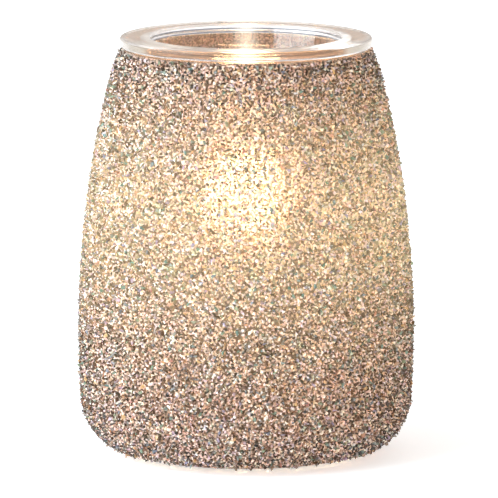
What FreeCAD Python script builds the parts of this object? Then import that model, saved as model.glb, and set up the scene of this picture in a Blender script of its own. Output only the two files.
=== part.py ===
import FreeCAD, Part
import math
import os
import random
import re

import Sketcher

# Electric wax warmer: a crystal-coated glass shade on a screwed base, a candelabra lamp
# inside it, and a clear glass wax dish that rests on top. Millimetres, +Z up, origin on
# the floor under the middle of the shade, cord inlet at the back (+Y).

DIMENSIONS = {
    # wax dish
    "total_height": 180.4,
    "rim_radius": 54.0,
    "rim_thickness": 4.4,
    "rim_rounding": 1.2,
    "well_radius": 41.2,
    "well_floor_radius": 37.6,
    "well_rounding": 6.0,
    "bowl_rounding": 8.0,
    "bowl_draft": 0.4,
    "dish_wall": 4.0,
    "dish_floor": 4.0,
    "dish_depth": 30.0,
    # shade
    "belly_radius": 70.6,
    "belly_height": 52.0,
    "wall_arc": 453.0,
    "shoulder_height": 163.0,
    "shoulder_arc": 57.0,
    "corner_arc": 24.5,
    "shade_foot": 1.5,
    "foot_land": 1.6,
    "glass_wall": 4.0,
    "inner_corner_arc": 20.0,
    "glass_rounding": 1.2,
    "lip_under": 4.8,
    "lip_over": 8.6,
    "lip_radius": 34.0,
    "punt_radius": 41.2,
    # crystal coating
    "coat_thickness": 1.1,
    "coat_start": 2.6,
    "coat_stop": 175.2,
    "lump_pitch": 9.8,
    "lump_reach": 3.6,
    "lump_height": 0.55,
    "lump_root": 0.45,
    "lump_lean": 0.8,
    "lump_drift": 1.0,
    # cord inlet
    "inlet_height": 34.0,
    "inlet_hole_radius": 5.5,
    "inlet_bore_radius": 3.3,
    "grommet_radius": 8.0,
    "grommet_proud": 2.0,
    "grommet_fit": 1.2,
    "cut_past": 5.0,
    "coat_gap": 8.4,
    # base stack
    "cover_radius": 39.5,
    "cover_under": 2.8,
    "cover_over": 4.3,
    "cover_rounding": 0.6,
    "gasket_radius": 39.0,
    "gasket_inner_radius": 34.5,
    "plate_radius": 42.0,
    "plate_under": 9.1,
    "plate_over": 10.6,
    "vent_radius": 2.0,
    "vent_count": 8.0,
    "cover_vent_circle": 19.0,
    "plate_vent_circle": 29.5,
    "foot_radius": 5.5,
    "foot_recess": 0.5,
    "foot_circle": 32.0,
    "foot_taper": 0.5,
    # M3 fasteners
    "clamp_circle": 27.5,
    "clamp_count": 4.0,
    "screw_radius": 1.5,
    "screw_head_radius": 2.8,
    "screw_head": 1.6,
    "screw_head_shoulder": 0.88,
    "screw_crown_radius": 1.68,
    "driver_slot": 0.8,
    "driver_depth": 0.8,
    "clamp_screw_top": 14.0,
    "nut_radius": 3.175,
    "nut_thickness": 2.4,
    # lamp stand
    "stand_radius": 14.0,
    "stand_bore": 11.5,
    "stand_top": 78.0,
    "stand_roof": 2.5,
    "stand_flange_radius": 22.0,
    "stand_flange": 2.5,
    "stand_crown_rounding": 1.4,
    "stand_root_rounding": 0.8,
    "flange_rounding": 0.6,
    "stand_lead_hole": 3.6,
    "stand_screw_circle": 18.2,
    "stand_screw_count": 3.0,
    "stand_screw_proud": 0.3,
    "stand_cap_hole": 7.2,
    # lamp socket
    "socket_radius": 11.3,
    "socket_under": 50.0,
    "socket_floor_under": 55.0,
    "socket_floor_over": 58.5,
    "socket_skirt_bore": 9.8,
    "shell_radius": 6.55,
    "shell_sheet": 0.35,
    "shell_rim": 75.3,
    "shell_flange_radius": 3.9,
    "contact_sheet": 0.4,
    "contact_width": 3.0,
    "contact_reach": 3.3,
    "contact_foot": 1.9,
    "terminal_sheet": 0.8,
    "terminal_width": 4.0,
    "terminal_reach": 9.4,
    "line_strip_end": 1.6,
    "neutral_strip_end": 4.0,
    "terminal_screw_offset": 8.0,
    "terminal_screw_radius": 1.25,
    "terminal_screw_head_radius": 1.7,
    "terminal_screw_top": 58.0,
    "terminal_screw_head": 1.8,
    "rivet_radius": 0.8,
    "rivet_head": 0.4,
    "rivet_head_radius": 1.0,
    "shell_rivet_offset": 5.1,
    "side_screw_height": 66.0,
    "side_screw_radius": 1.25,
    "side_screw_head_radius": 2.3,
    "side_screw_head": 1.4,
    "side_screw_inner": 8.5,
    "side_screw_clearance": 0.2,
    "side_screw_slot": 0.6,
    # lamp
    "lamp_tip": 61.0,
    "tip_radius": 2.2,
    "tip_flat_radius": 1.4,
    "tip_thickness": 0.8,
    "tip_shoulder": 0.48,
    "cap_start": 64.6,
    "cap_neck": 77.0,
    "cap_collar": 78.2,
    "cap_top": 80.0,
    "cap_radius": 5.35,
    "cap_sheet": 0.35,
    "collar_radius": 6.3,
    "thread_pitch": 2.54,
    "thread_height": 0.6,
    "thread_base": 1.1,
    "thread_crest": 0.5,
    "thread_root": 0.1,
    "insulator_depth": 1.4,
    "insulator_lip": 0.4,
    "cap_thread_start": 65.4,
    "cap_thread_length": 10.6,
    "shell_thread_start": 64.13,
    "shell_thread_length": 10.0,
    "globe_radius": 18.0,
    "globe_height": 113.0,
    "neck_radius": 5.6,
    "neck_arc": 30.0,
    "neck_seal": 78.2,
    "lamp_glass": 0.7,
    "stem_radius": 2.2,
    "stem_top": 96.0,
    "stem_skirt": 1.4,
    "stem_flare": 6.0,
    "pinch_under": 89.0,
    "pinch_start": 91.0,
    "pinch_stop": 95.0,
    "pinch_radius": 1.55,
    "lead_gap_inner": 0.65,
    "lead_gap_outer": 2.65,
    "lead_radius": 0.35,
    "lead_spread": 7.5,
    "lead_bend": 92.0,
    "lead_offset": 1.1,
    "lead_tail": 1.2,
    "filament_height": 109.0,
    "filament_radius": 0.4,
    "filament_sag": 5.0,
}

document = FreeCAD.newDocument("WaxWarmer")
sheet = document.addObject("Spreadsheet::Sheet", "Dims")
for row, (alias, size) in enumerate(DIMENSIONS.items(), start=1):
    sheet.set(f"A{row}", str(size))
    sheet.setAlias(f"A{row}", alias)
document.recompute()

UP = FreeCAD.Vector(0, 0, 1)
ALONG_X = FreeCAD.Vector(1, 0, 0)
ALONG_Y = FreeCAD.Vector(0, 1, 0)
# direction in degrees and narrowing of a grit lump's three root corners
LUMP_CORNERS = ((0, 1.0), (128, 0.8), (235, 0.9))
LUMP_SEED = 7

SUBPARTS = []
ALIAS = re.compile(r"\b(" + "|".join(sorted(DIMENSIONS, key=len, reverse=True)) + r")\b")


# ---------------------------------------------------------------- expressions and sketches

def number(expression):
    """Value of an expression written with the sheet's aliases."""
    return float(sheet.evalExpression(expression))


def linked(expression):
    """The same expression with each alias written as a cell of the Dims sheet."""
    return ALIAS.sub(r"Dims.\1", expression)


def bind(thing, prop, expression):
    thing.setExpression(prop, linked(expression))


def keep(thing, label):
    """Register an object as the sub-part that LABEL names."""
    thing.Label = label
    SUBPARTS.append(thing)
    return thing


def new_body(label):
    return keep(document.addObject("PartDesign::Body", "Body_" + label), label)


def origin_feature(body, role):
    return next(item for item in body.Origin.OriginFeatures if item.Role == role)


def new_sketch(body, name, role, lift=None):
    """Sketch on one of the body's origin planes, moved along its normal by LIFT."""
    sketch = body.newObject("Sketcher::SketchObject", name)
    sketch.AttachmentSupport = [(origin_feature(body, role), "")]
    sketch.MapMode = "FlatFace"
    if lift is not None:
        bind(sketch, "AttachmentOffset.Base.z", lift)
        document.recompute()
    return sketch


def pin(sketch, geometry, point, x_text, y_text):
    """Fix one point of a sketch at two expressions."""
    places = (("DistanceX", -2, x_text), ("DistanceY", -1, y_text))
    for kind, axis, text in places:
        if text == "0":
            sketch.addConstraint(Sketcher.Constraint("PointOnObject", geometry, point, axis))
            continue
        index = sketch.addConstraint(
            Sketcher.Constraint(kind, -1, 1, geometry, point, number(text)))
        bind(sketch, f"Constraints[{index}]", text)


def arc_between(start, end, radius, turns_left):
    """Arc from START to END of the given radius, running anticlockwise if TURNS_LEFT."""
    if not turns_left:
        start, end = end, start
    chord = end - start
    across = FreeCAD.Vector(-chord.y, chord.x, 0).normalize()
    drop = math.sqrt(max(radius ** 2 - (chord.Length / 2) ** 2, 0.0))
    centre = (start + end) / 2 + across * drop
    angles = [math.atan2(p.y - centre.y, p.x - centre.x) for p in (start, end)]
    circle = Part.Circle(centre, FreeCAD.Vector(0, 0, 1), radius)
    return Part.ArcOfCircle(circle, angles[0], angles[1])


def outline(sketch, corners):
    """Closed outline. A corner is (x, y) where the next edge is straight, or
    (x, y, radius, side), where an arc follows that turns to that side."""
    points = [FreeCAD.Vector(number(c[0]), number(c[1]), 0) for c in corners]
    ends = []
    for place, corner in enumerate(corners):
        start = points[place]
        end = points[(place + 1) % len(points)]
        if len(corner) == 2:
            index = sketch.addGeometry(Part.LineSegment(start, end), False)
            ends.append((index, 1, 2))
            continue
        turns_left = corner[3] == "left"
        arc = arc_between(start, end, number(corner[2]), turns_left)
        index = sketch.addGeometry(arc, False)
        ends.append((index, 1, 2) if turns_left else (index, 2, 1))
        radius = sketch.addConstraint(Sketcher.Constraint("Radius", index, number(corner[2])))
        bind(sketch, f"Constraints[{radius}]", corner[2])
    for place, (index, first, _last) in enumerate(ends):
        before, _first, last = ends[place - 1]
        sketch.addConstraint(Sketcher.Constraint("Coincident", before, last, index, first))
        pin(sketch, index, first, corners[place][0], corners[place][1])
    return sketch


def circle(sketch, x_text, y_text, radius):
    shape = Part.Circle(FreeCAD.Vector(number(x_text), number(y_text), 0),
                        FreeCAD.Vector(0, 0, 1), number(radius))
    index = sketch.addGeometry(shape, False)
    limit = sketch.addConstraint(Sketcher.Constraint("Radius", index, number(radius)))
    bind(sketch, f"Constraints[{limit}]", radius)
    if x_text == "0" and y_text == "0":
        sketch.addConstraint(Sketcher.Constraint("Coincident", index, 3, -1, 1))
    else:
        pin(sketch, index, 3, x_text, y_text)
    return sketch


def axis_line(sketch, x_text):
    """Upright construction line at x, the axis that an off-centre revolution turns round."""
    x = number(x_text)
    index = sketch.addGeometry(
        Part.LineSegment(FreeCAD.Vector(x, 0, 0), FreeCAD.Vector(x, 10, 0)), True)
    sketch.addConstraint(Sketcher.Constraint("Vertical", index))
    sketch.addConstraint(Sketcher.Constraint("DistanceY", index, 1, index, 2, 10))
    pin(sketch, index, 1, x_text, "0")
    return sketch


# ---------------------------------------------------------------- features

def revolve(body, sketch, name, axis="V_Axis"):
    feature = body.newObject("PartDesign::Revolution", name)
    feature.Profile = sketch
    feature.ReferenceAxis = (sketch, [axis])
    feature.Angle = 360
    document.recompute()
    return feature


def groove(body, sketch, name, axis="V_Axis"):
    feature = body.newObject("PartDesign::Groove", name)
    feature.Profile = sketch
    feature.ReferenceAxis = (sketch, [axis])
    feature.Angle = 360
    document.recompute()
    return feature


def pad(body, sketch, name, length, midplane=False):
    feature = body.newObject("PartDesign::Pad", name)
    feature.Profile = sketch
    feature.Midplane = midplane
    bind(feature, "Length", length)
    document.recompute()
    return feature


def pocket(body, sketch, name, length, midplane=False, backwards=False):
    """Cut along the sketch's normal; it stops the build if nothing is removed."""
    before = body.Shape.Volume
    feature = body.newObject("PartDesign::Pocket", name)
    feature.Profile = sketch
    feature.Midplane = midplane
    feature.Reversed = backwards
    bind(feature, "Length", length)
    document.recompute()
    if not feature.Shape.Volume < before - 1e-6:
        raise RuntimeError(f"{name} cuts nothing")
    return feature


def ring_of(body, features, name, count):
    """The features repeated evenly round the upright axis."""
    pattern = body.newObject("PartDesign::PolarPattern", name)
    pattern.Originals = features
    pattern.Axis = (origin_feature(body, "Z_Axis"), [""])
    pattern.Angle = 360
    bind(pattern, "Occurrences", count)
    body.Tip = pattern
    document.recompute()
    return pattern


def round_edges(body, name, rings, radius):
    """Fillet the circular edges, coaxial with Z, at the given (radius, height) pairs."""
    base = body.Tip
    wanted = [(number(r), number(z)) for r, z in rings]
    found = []
    for index, edge in enumerate(base.Shape.Edges, start=1):
        if not isinstance(edge.Curve, Part.Circle):
            continue
        centre = edge.Curve.Center
        if math.hypot(centre.x, centre.y) > 1e-4:
            continue
        for r, z in wanted:
            if abs(edge.Curve.Radius - r) < 1e-3 and abs(centre.z - z) < 1e-3:
                found.append(f"Edge{index}")
    if len(found) < len(wanted):
        raise RuntimeError(f"{name}: {len(found)} of {len(wanted)} edges found")
    feature = body.newObject("PartDesign::Fillet", name)
    feature.Base = (base, found)
    bind(feature, "Radius", radius)
    document.recompute()
    return feature


def helix_ridge(body, name, root, crest, start, length):
    """Right-handed thread ridge that stands from radius ROOT to radius CREST."""
    sketch = new_sketch(body, name + "_profile", "XZ_Plane")
    middle = f"({start} + thread_base / 2)"
    outline(sketch, [
        (root, start),
        (crest, f"{middle} - thread_crest / 2"),
        (crest, f"{middle} + thread_crest / 2"),
        (root, f"{start} + thread_base"),
    ])
    feature = body.newObject("PartDesign::AdditiveHelix", name)
    feature.Profile = sketch
    feature.ReferenceAxis = (sketch, ["V_Axis"])
    feature.Mode = 0
    bind(feature, "Pitch", "thread_pitch")
    bind(feature, "Height", length)
    document.recompute()
    return feature


def cylinder(name, radius, height, base, axis="Z"):
    """Part::Cylinder whose base centre is at three expressions, along Z or Y."""
    solid = document.addObject("Part::Cylinder", name)
    bind(solid, "Radius", radius)
    bind(solid, "Height", height)
    if axis == "Y":
        solid.Placement = FreeCAD.Placement(FreeCAD.Vector(), FreeCAD.Rotation(ALONG_X, -90))
    for letter, text in zip("xyz", base):
        bind(solid, f"Placement.Base.{letter}", text)
    return solid


def combine(kind, name, first, second):
    """Part::Cut, Part::Fuse or Part::Common of two objects."""
    result = document.addObject(kind, name)
    result.Base = first
    result.Tool = second
    document.recompute()
    return result


# ---------------------------------------------------------------- the shade's outline

WALL_CENTRE = "(belly_radius - wall_arc)"
GLASS_TOP = "(total_height - rim_thickness)"


def corner_centre(wall, radius, floor):
    """Centre (r, z) of the arc that joins a level floor to the wall arc, tangent to both."""
    height = f"({floor} + {radius})"
    reach = f"({wall} - {radius})"
    return f"({WALL_CENTRE} + sqrt({reach}^2 - (belly_height - {height})^2))", height


def corner_tangent(wall, radius, floor, offset="0"):
    """Point where the corner arc meets the wall arc, moved out by OFFSET."""
    centre_r, centre_z = corner_centre(wall, radius, floor)
    scale = f"(({wall} + {offset}) / ({wall} - {radius}))"
    r = f"({WALL_CENTRE} + ({centre_r} - {WALL_CENTRE}) * {scale})"
    z = f"(belly_height + ({centre_z} - belly_height) * {scale})"
    return r, z


SHOULDER_R = f"({WALL_CENTRE} + sqrt(wall_arc^2 - (shoulder_height - belly_height)^2))"
SHOULDER_CENTRE = (
    f"({SHOULDER_R} - shoulder_arc * ({SHOULDER_R} - {WALL_CENTRE}) / wall_arc)",
    "(shoulder_height - shoulder_arc * (shoulder_height - belly_height) / wall_arc)",
)


def shoulder_tangent(offset):
    """Point where the wall arc meets the shoulder arc, moved out by OFFSET."""
    scale = f"((wall_arc + {offset}) / wall_arc)"
    r = f"({WALL_CENTRE} + ({SHOULDER_R} - {WALL_CENTRE}) * {scale})"
    z = f"(belly_height + (shoulder_height - belly_height) * {scale})"
    return r, z


def shoulder_radius(height, offset):
    """Radius of the shoulder, moved out by OFFSET, at a height."""
    reach = f"(shoulder_arc + {offset})"
    return f"({SHOULDER_CENTRE[0]} + sqrt({reach}^2 - ({height} - {SHOULDER_CENTRE[1]})^2))"


OUTER_CORNER = ("wall_arc", "corner_arc", "shade_foot")
INNER_WALL = "(wall_arc - glass_wall)"
INNER_CORNER = (INNER_WALL, "inner_corner_arc", "lip_over")


# ---------------------------------------------------------------- glass

def wax_dish():
    """Clear pressed-glass dish: a flat rim and a tapered well."""
    body = new_body("wax_dish")
    under = "(total_height - dish_depth)"
    floor = f"({under} + dish_floor)"
    section = outline(new_sketch(body, "dish_section", "XZ_Plane"), [
        ("0", under),
        ("well_floor_radius + dish_wall - bowl_draft", under),
        ("well_radius + dish_wall", GLASS_TOP),
        ("rim_radius", GLASS_TOP),
        ("rim_radius", "total_height"),
        ("well_radius", "total_height"),
        ("well_floor_radius", floor),
        ("0", floor),
    ])
    revolve(body, section, "dish_turned")
    round_edges(body, "well_fillet", [("well_floor_radius", floor)], "well_rounding")
    round_edges(body, "bowl_round", [("well_floor_radius + dish_wall - bowl_draft", under)],
                "bowl_rounding")
    round_edges(body, "rim_round", [
        ("rim_radius", "total_height"),
        ("rim_radius", GLASS_TOP),
        ("well_radius", "total_height"),
    ], "rim_rounding")


def glass_shade():
    """Barrel of glass, open at the top, with an inturned lip round its base opening."""
    body = new_body("glass_shade")
    floor_r = corner_centre(*OUTER_CORNER)[0]
    outer = outline(new_sketch(body, "shade_outside", "XZ_Plane"), [
        ("0", "shade_foot"),
        (floor_r, "shade_foot", "corner_arc", "left"),
        (*corner_tangent(*OUTER_CORNER), "wall_arc", "left"),
        (SHOULDER_R, "shoulder_height", "shoulder_arc", "left"),
        (shoulder_radius(GLASS_TOP, "0"), GLASS_TOP),
        ("0", GLASS_TOP),
    ])
    revolve(body, outer, "shade_blank")
    inner_r = corner_centre(*INNER_CORNER)[0]
    inner = outline(new_sketch(body, "shade_inside", "XZ_Plane"), [
        ("0", "lip_over"),
        (inner_r, "lip_over", "inner_corner_arc", "left"),
        (*corner_tangent(*INNER_CORNER), INNER_WALL, "left"),
        (*shoulder_tangent("-glass_wall"), "(shoulder_arc - glass_wall)", "left"),
        (shoulder_radius(GLASS_TOP, "-glass_wall"), GLASS_TOP),
        ("0", GLASS_TOP),
    ])
    groove(body, inner, "shade_hollow")
    punt = outline(new_sketch(body, "punt_section", "XZ_Plane"), [
        ("0", "shade_foot"),
        (f"{floor_r} - foot_land", "shade_foot"),
        ("punt_radius", "lip_under"),
        ("0", "lip_under"),
    ])
    groove(body, punt, "shade_punt")
    hole = circle(new_sketch(body, "lip_hole", "XY_Plane"), "0", "0", "lip_radius")
    pocket(body, hole, "base_opening", "lip_over", backwards=True)
    round_edges(body, "fire_polish", [
        (shoulder_radius(GLASS_TOP, "0"), GLASS_TOP),
        (shoulder_radius(GLASS_TOP, "-glass_wall"), GLASS_TOP),
    ], "glass_rounding")
    inlet = circle(new_sketch(body, "inlet_circle", "XZ_Plane"), "0", "inlet_height",
                   "inlet_hole_radius")
    pocket(body, inlet, "inlet_hole", "belly_radius + cut_past")
    return body


def lump():
    """One lump of crushed glass: a low three-sided peak, rooted below the skin it sits on."""
    reach = number("lump_reach")
    base = [FreeCAD.Vector(reach * math.cos(math.radians(turn)),
                           reach * math.sin(math.radians(turn)) * wide, -number("lump_root"))
            for turn, wide in LUMP_CORNERS]
    peak = FreeCAD.Vector(number("lump_lean"), 0, number("lump_height"))
    faces = [Part.Face(Part.makePolygon([base[0], base[2], base[1], base[0]]))]
    for place, corner in enumerate(base):
        following = base[(place + 1) % len(base)]
        faces.append(Part.Face(Part.makePolygon([corner, following, peak, corner])))
    return Part.Solid(Part.Shell(faces))


def lump_rings(profile):
    """Lumps in staggered rings over the surface that PROFILE turns, clear of the inlet."""
    chance = random.Random(LUMP_SEED)
    pitch = number("lump_pitch")
    drift = number("lump_drift")
    clear = number("coat_gap + lump_reach")
    inlet = FreeCAD.Vector(0, number("belly_radius"), number("inlet_height"))
    length = sum(edge.Length for edge in profile)
    count = int(length / pitch)
    pattern = lump()
    lumps = []
    for ring in range(count):
        height = (ring + 0.5) * length / count
        around = 0
        turn = chance.uniform(0, 360)
        while around < 360:
            point, slope = along(profile, height + chance.uniform(-drift, drift))
            seat = FreeCAD.Placement(FreeCAD.Vector(), FreeCAD.Rotation(UP, turn + around))
            seat *= FreeCAD.Placement(point, FreeCAD.Rotation(ALONG_Y, 90 - slope))
            seat *= FreeCAD.Placement(FreeCAD.Vector(),
                                      FreeCAD.Rotation(UP, chance.uniform(0, 360)))
            if (seat.Base - inlet).Length > clear:
                placed = pattern.copy()
                placed.Placement = seat
                lumps.append(placed)
            around += math.degrees(pitch / point.x)
    return lumps


def along(profile, distance):
    """Point at DISTANCE along the edges of PROFILE, and the outward slope there in degrees."""
    for edge in profile:
        if distance < edge.Length or edge is profile[-1]:
            break
        distance -= edge.Length
    spot = edge.getParameterByLength(min(distance, edge.Length))
    point = edge.valueAt(spot)
    tangent = edge.tangentAt(spot)
    slope = math.degrees(math.atan2(-tangent.x, tangent.y))
    return FreeCAD.Vector(point.x, 0, point.y), slope


def crystal_coating():
    """Crushed glass bonded to the outside of the shade, clear of the inlet: a skin with the
    larger lumps standing out of it."""
    body = document.addObject("PartDesign::Body", "Body_coating_skin")
    centre_r, centre_z = corner_centre(*OUTER_CORNER)
    start_r = f"({centre_r} + sqrt(corner_arc^2 - (coat_start - {centre_z})^2))"
    swell = "((corner_arc + coat_thickness) / corner_arc)"
    stop_r = shoulder_radius("coat_stop", "0")
    rise = "((shoulder_arc + coat_thickness) / shoulder_arc)"
    top = (
        f"({SHOULDER_CENTRE[0]} + ({stop_r} - {SHOULDER_CENTRE[0]}) * {rise})",
        f"({SHOULDER_CENTRE[1]} + (coat_stop - {SHOULDER_CENTRE[1]}) * {rise})",
    )
    low = (
        f"({centre_r} + ({start_r} - {centre_r}) * {swell})",
        f"({centre_z} + (coat_start - {centre_z}) * {swell})",
    )
    outer_wall = "(wall_arc + coat_thickness)"
    skin = outline(new_sketch(body, "coat_section", "XZ_Plane"), [
        (*low, "(corner_arc + coat_thickness)", "left"),
        (*corner_tangent(*OUTER_CORNER, "coat_thickness"), outer_wall, "left"),
        (*shoulder_tangent("coat_thickness"), "(shoulder_arc + coat_thickness)", "left"),
        top,
        (stop_r, "coat_stop", "shoulder_arc", "right"),
        (SHOULDER_R, "shoulder_height", "wall_arc", "right"),
        (*corner_tangent(*OUTER_CORNER), "corner_arc", "right"),
        (start_r, "coat_start"),
    ])
    revolve(body, skin, "coat_turned")
    ring = circle(new_sketch(body, "coat_gap", "XZ_Plane"), "0", "inlet_height",
                  "coat_gap")
    pocket(body, ring, "coat_opening", "belly_radius + cut_past")
    rough = document.addObject("Part::Feature", "coating_lumps")
    rough.Shape = Part.Compound(lump_rings([arc.toShape() for arc in skin.Geometry[:3]]))
    keep(combine("Part::Fuse", "coating_fused", body, rough), "crystal_coating")


def cord_grommet(shade):
    """Rubber bush in the shade's inlet hole, its flanges fitted to the curved glass."""
    inner_face = "(belly_radius - glass_wall - grommet_proud - grommet_fit)"
    blank = cylinder("grommet_blank", "grommet_radius",
                     f"belly_radius + coat_thickness - {inner_face}",
                     ("0", inner_face, "inlet_height"), "Y")
    fitted = combine("Part::Cut", "grommet_fitted", blank, shade)
    bore = cylinder("grommet_bore", "inlet_bore_radius", "glass_wall * 5",
                    ("0", "belly_radius - glass_wall * 4", "inlet_height"), "Y")
    keep(combine("Part::Cut", "grommet", fitted, bore), "cord_grommet")


# ---------------------------------------------------------------- base

def drilled_ring(body, name, circle_radius, hole_radius, count, under, depth, turn=0.0):
    """Holes of one size evenly round the axis, drilled up from a height."""
    x_text = f"({circle_radius}) * cos({turn})"
    y_text = f"({circle_radius}) * sin({turn})" if turn else "0"
    sketch = circle(new_sketch(body, name + "_circle", "XY_Plane", under), x_text, y_text,
                    hole_radius)
    hole = pocket(body, sketch, name, depth, backwards=True)
    return ring_of(body, [hole], name + "_ring", count)


def disc(body, name, radius, under, over):
    sketch = circle(new_sketch(body, name + "_circle", "XY_Plane", under), "0", "0", radius)
    return pad(body, sketch, name, f"{over} - {under}")


def base_cover():
    """Moulded cover under the base opening, with recesses for the feet and vent holes."""
    body = new_body("base_cover")
    disc(body, "cover_disc", "cover_radius", "cover_under", "cover_over")
    round_edges(body, "cover_round", [("cover_radius", "cover_under")], "cover_rounding")
    depth = "(cover_over - cover_under)"
    drilled_ring(body, "clamp_hole", "clamp_circle", "screw_radius", "clamp_count",
                 "cover_under", depth)
    drilled_ring(body, "cover_vent", "cover_vent_circle", "vent_radius", "vent_count",
                 "cover_under", depth, 22.5)
    drilled_ring(body, "foot_seat", "foot_circle", "foot_radius", "clamp_count",
                 "cover_under", "foot_recess", 45.0)


def lamp_plate():
    """Steel plate inside the shade that carries the lamp stand."""
    body = new_body("lamp_plate")
    disc(body, "plate_disc", "plate_radius", "plate_under", "plate_over")
    depth = "(plate_over - plate_under)"
    drilled_ring(body, "plate_clamp_hole", "clamp_circle", "screw_radius", "clamp_count",
                 "plate_under", depth)
    drilled_ring(body, "plate_vent", "plate_vent_circle", "vent_radius", "vent_count",
                 "plate_under", depth, 22.5)
    drilled_ring(body, "plate_stand_hole", "stand_screw_circle", "screw_radius",
                 "stand_screw_count", "plate_under", depth)


def gasket(label, under, over):
    """Silicone ring between the glass lip and one of the two discs that clamp it."""
    body = new_body(label)
    sketch = new_sketch(body, label + "_circles", "XY_Plane", under)
    circle(sketch, "0", "0", "gasket_radius")
    circle(sketch, "0", "0", "gasket_inner_radius")
    pad(body, sketch, label + "_ring", f"{over} - {under}")


def rubber_foot(label, angle):
    """Tapered rubber foot in its recess under the cover."""
    body = new_body(label)
    top = "(cover_under + foot_recess)"
    section = outline(new_sketch(body, label + "_section", "XZ_Plane"), [
        ("0", "0"),
        ("foot_radius - foot_taper", "0"),
        ("foot_radius", "foot_taper"),
        ("foot_radius", top),
        ("0", top),
    ])
    revolve(body, section, label + "_turned")
    bind(body, "Placement.Base.x", f"foot_circle * cos({angle})")
    bind(body, "Placement.Base.y", f"foot_circle * sin({angle})")


def screw_ring(label, ring_radius, count, seat, tip, head_below):
    """Pan-head M3 screws, slotted, evenly round the axis, on one seat height."""
    body = new_body(label)
    sign = "-" if head_below else "+"
    crown = f"({seat} {sign} screw_head)"
    shoulder = f"({seat} {sign} screw_head_shoulder)"
    corners = [
        (ring_radius, crown),
        (f"{ring_radius} + screw_crown_radius", crown),
        (f"{ring_radius} + screw_head_radius", shoulder),
        (f"{ring_radius} + screw_head_radius", seat),
        (f"{ring_radius} + screw_radius", seat),
        (f"{ring_radius} + screw_radius", tip),
        (ring_radius, tip),
    ]
    if not head_below:
        corners.reverse()
    sketch = axis_line(new_sketch(body, label + "_section", "XZ_Plane"), ring_radius)
    outline(sketch, corners)
    screw = revolve(body, sketch, label + "_turned", "Axis0")
    slot = new_sketch(body, label + "_slot", "XY_Plane", crown)
    outline(slot, [
        (f"{ring_radius} - screw_head_radius - 1", "-driver_slot / 2"),
        (f"{ring_radius} + screw_head_radius + 1", "-driver_slot / 2"),
        (f"{ring_radius} + screw_head_radius + 1", "driver_slot / 2"),
        (f"{ring_radius} - screw_head_radius - 1", "driver_slot / 2"),
    ])
    cut = pocket(body, slot, label + "_driver", "driver_depth", backwards=head_below)
    ring_of(body, [screw, cut], label + "_ring", count)


def clamp_nuts():
    """Hexagon M3 nuts on the lamp plate."""
    body = new_body("clamp_nuts")
    sketch = new_sketch(body, "nut_hexagon", "XY_Plane", "plate_over")
    outline(sketch, [
        (f"clamp_circle + nut_radius * cos({angle})", f"nut_radius * sin({angle})")
        for angle in range(30, 390, 60)
    ])
    circle(sketch, "clamp_circle", "0", "screw_radius")
    nut = pad(body, sketch, "nut_hexagonal", "nut_thickness")
    ring_of(body, [nut], "nut_ring", "clamp_count")


# ---------------------------------------------------------------- lamp stand and socket

def socket_stand():
    """Moulded column that holds the socket: a flange, a hollow shaft and a pierced roof."""
    body = new_body("socket_stand")
    section = outline(new_sketch(body, "stand_section", "XZ_Plane"), [
        ("stand_bore", "plate_over"),
        ("stand_flange_radius", "plate_over"),
        ("stand_flange_radius", "plate_over + stand_flange"),
        ("stand_radius", "plate_over + stand_flange"),
        ("stand_radius", "stand_top"),
        ("stand_cap_hole", "stand_top"),
        ("stand_cap_hole", "stand_top - stand_roof"),
        ("stand_bore", "stand_top - stand_roof"),
    ])
    revolve(body, section, "stand_turned")
    round_edges(body, "stand_crown", [("stand_radius", "stand_top")], "stand_crown_rounding")
    round_edges(body, "stand_root", [("stand_radius", "plate_over + stand_flange")],
                "stand_root_rounding")
    round_edges(body, "flange_round",
                [("stand_flange_radius", "plate_over + stand_flange")], "flange_rounding")
    drilled_ring(body, "stand_foot_hole", "stand_screw_circle", "screw_radius",
                 "stand_screw_count", "plate_over", "stand_flange")
    lead = circle(new_sketch(body, "lead_circle", "XZ_Plane"), "0", "inlet_height",
                  "stand_lead_hole")
    pocket(body, lead, "lead_hole", "stand_radius + 1")
    side = circle(new_sketch(body, "side_circle", "YZ_Plane"), "0", "side_screw_height",
                  "side_screw_radius")
    pocket(body, side, "side_holes", "2 * stand_radius + 2", midplane=True)


def socket_body():
    """Insulating holder: a bore for the screw shell over a floor, and a skirt below."""
    body = new_body("socket_body")
    roof = "(stand_top - stand_roof)"
    section = outline(new_sketch(body, "socket_section", "XZ_Plane"), [
        ("0", "socket_floor_under"),
        ("socket_skirt_bore", "socket_floor_under"),
        ("socket_skirt_bore", "socket_under"),
        ("socket_radius", "socket_under"),
        ("socket_radius", roof),
        ("shell_radius", roof),
        ("shell_radius", "socket_floor_over"),
        ("0", "socket_floor_over"),
    ])
    revolve(body, section, "socket_turned")
    drill = new_sketch(body, "rivet_holes", "XY_Plane", "socket_floor_under")
    circle(drill, "0", "0", "rivet_radius")
    circle(drill, "shell_rivet_offset", "0", "rivet_radius")
    pocket(body, drill, "rivet_bores", "socket_floor_over - socket_floor_under",
           backwards=True)
    tap = new_sketch(body, "terminal_holes", "XY_Plane", "socket_floor_under")
    circle(tap, "terminal_screw_offset", "0", "terminal_screw_radius")
    circle(tap, "-terminal_screw_offset", "0", "terminal_screw_radius")
    pocket(body, tap, "terminal_bores", "terminal_screw_top - socket_floor_under",
           backwards=True)
    side = new_sketch(body, "socket_side_circle", "YZ_Plane", "side_screw_inner")
    circle(side, "0", "side_screw_height", "side_screw_radius")
    hole = pocket(body, side, "socket_side_hole", "socket_radius", backwards=True)
    ring_of(body, [hole], "socket_side_ring", "2")


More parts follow.
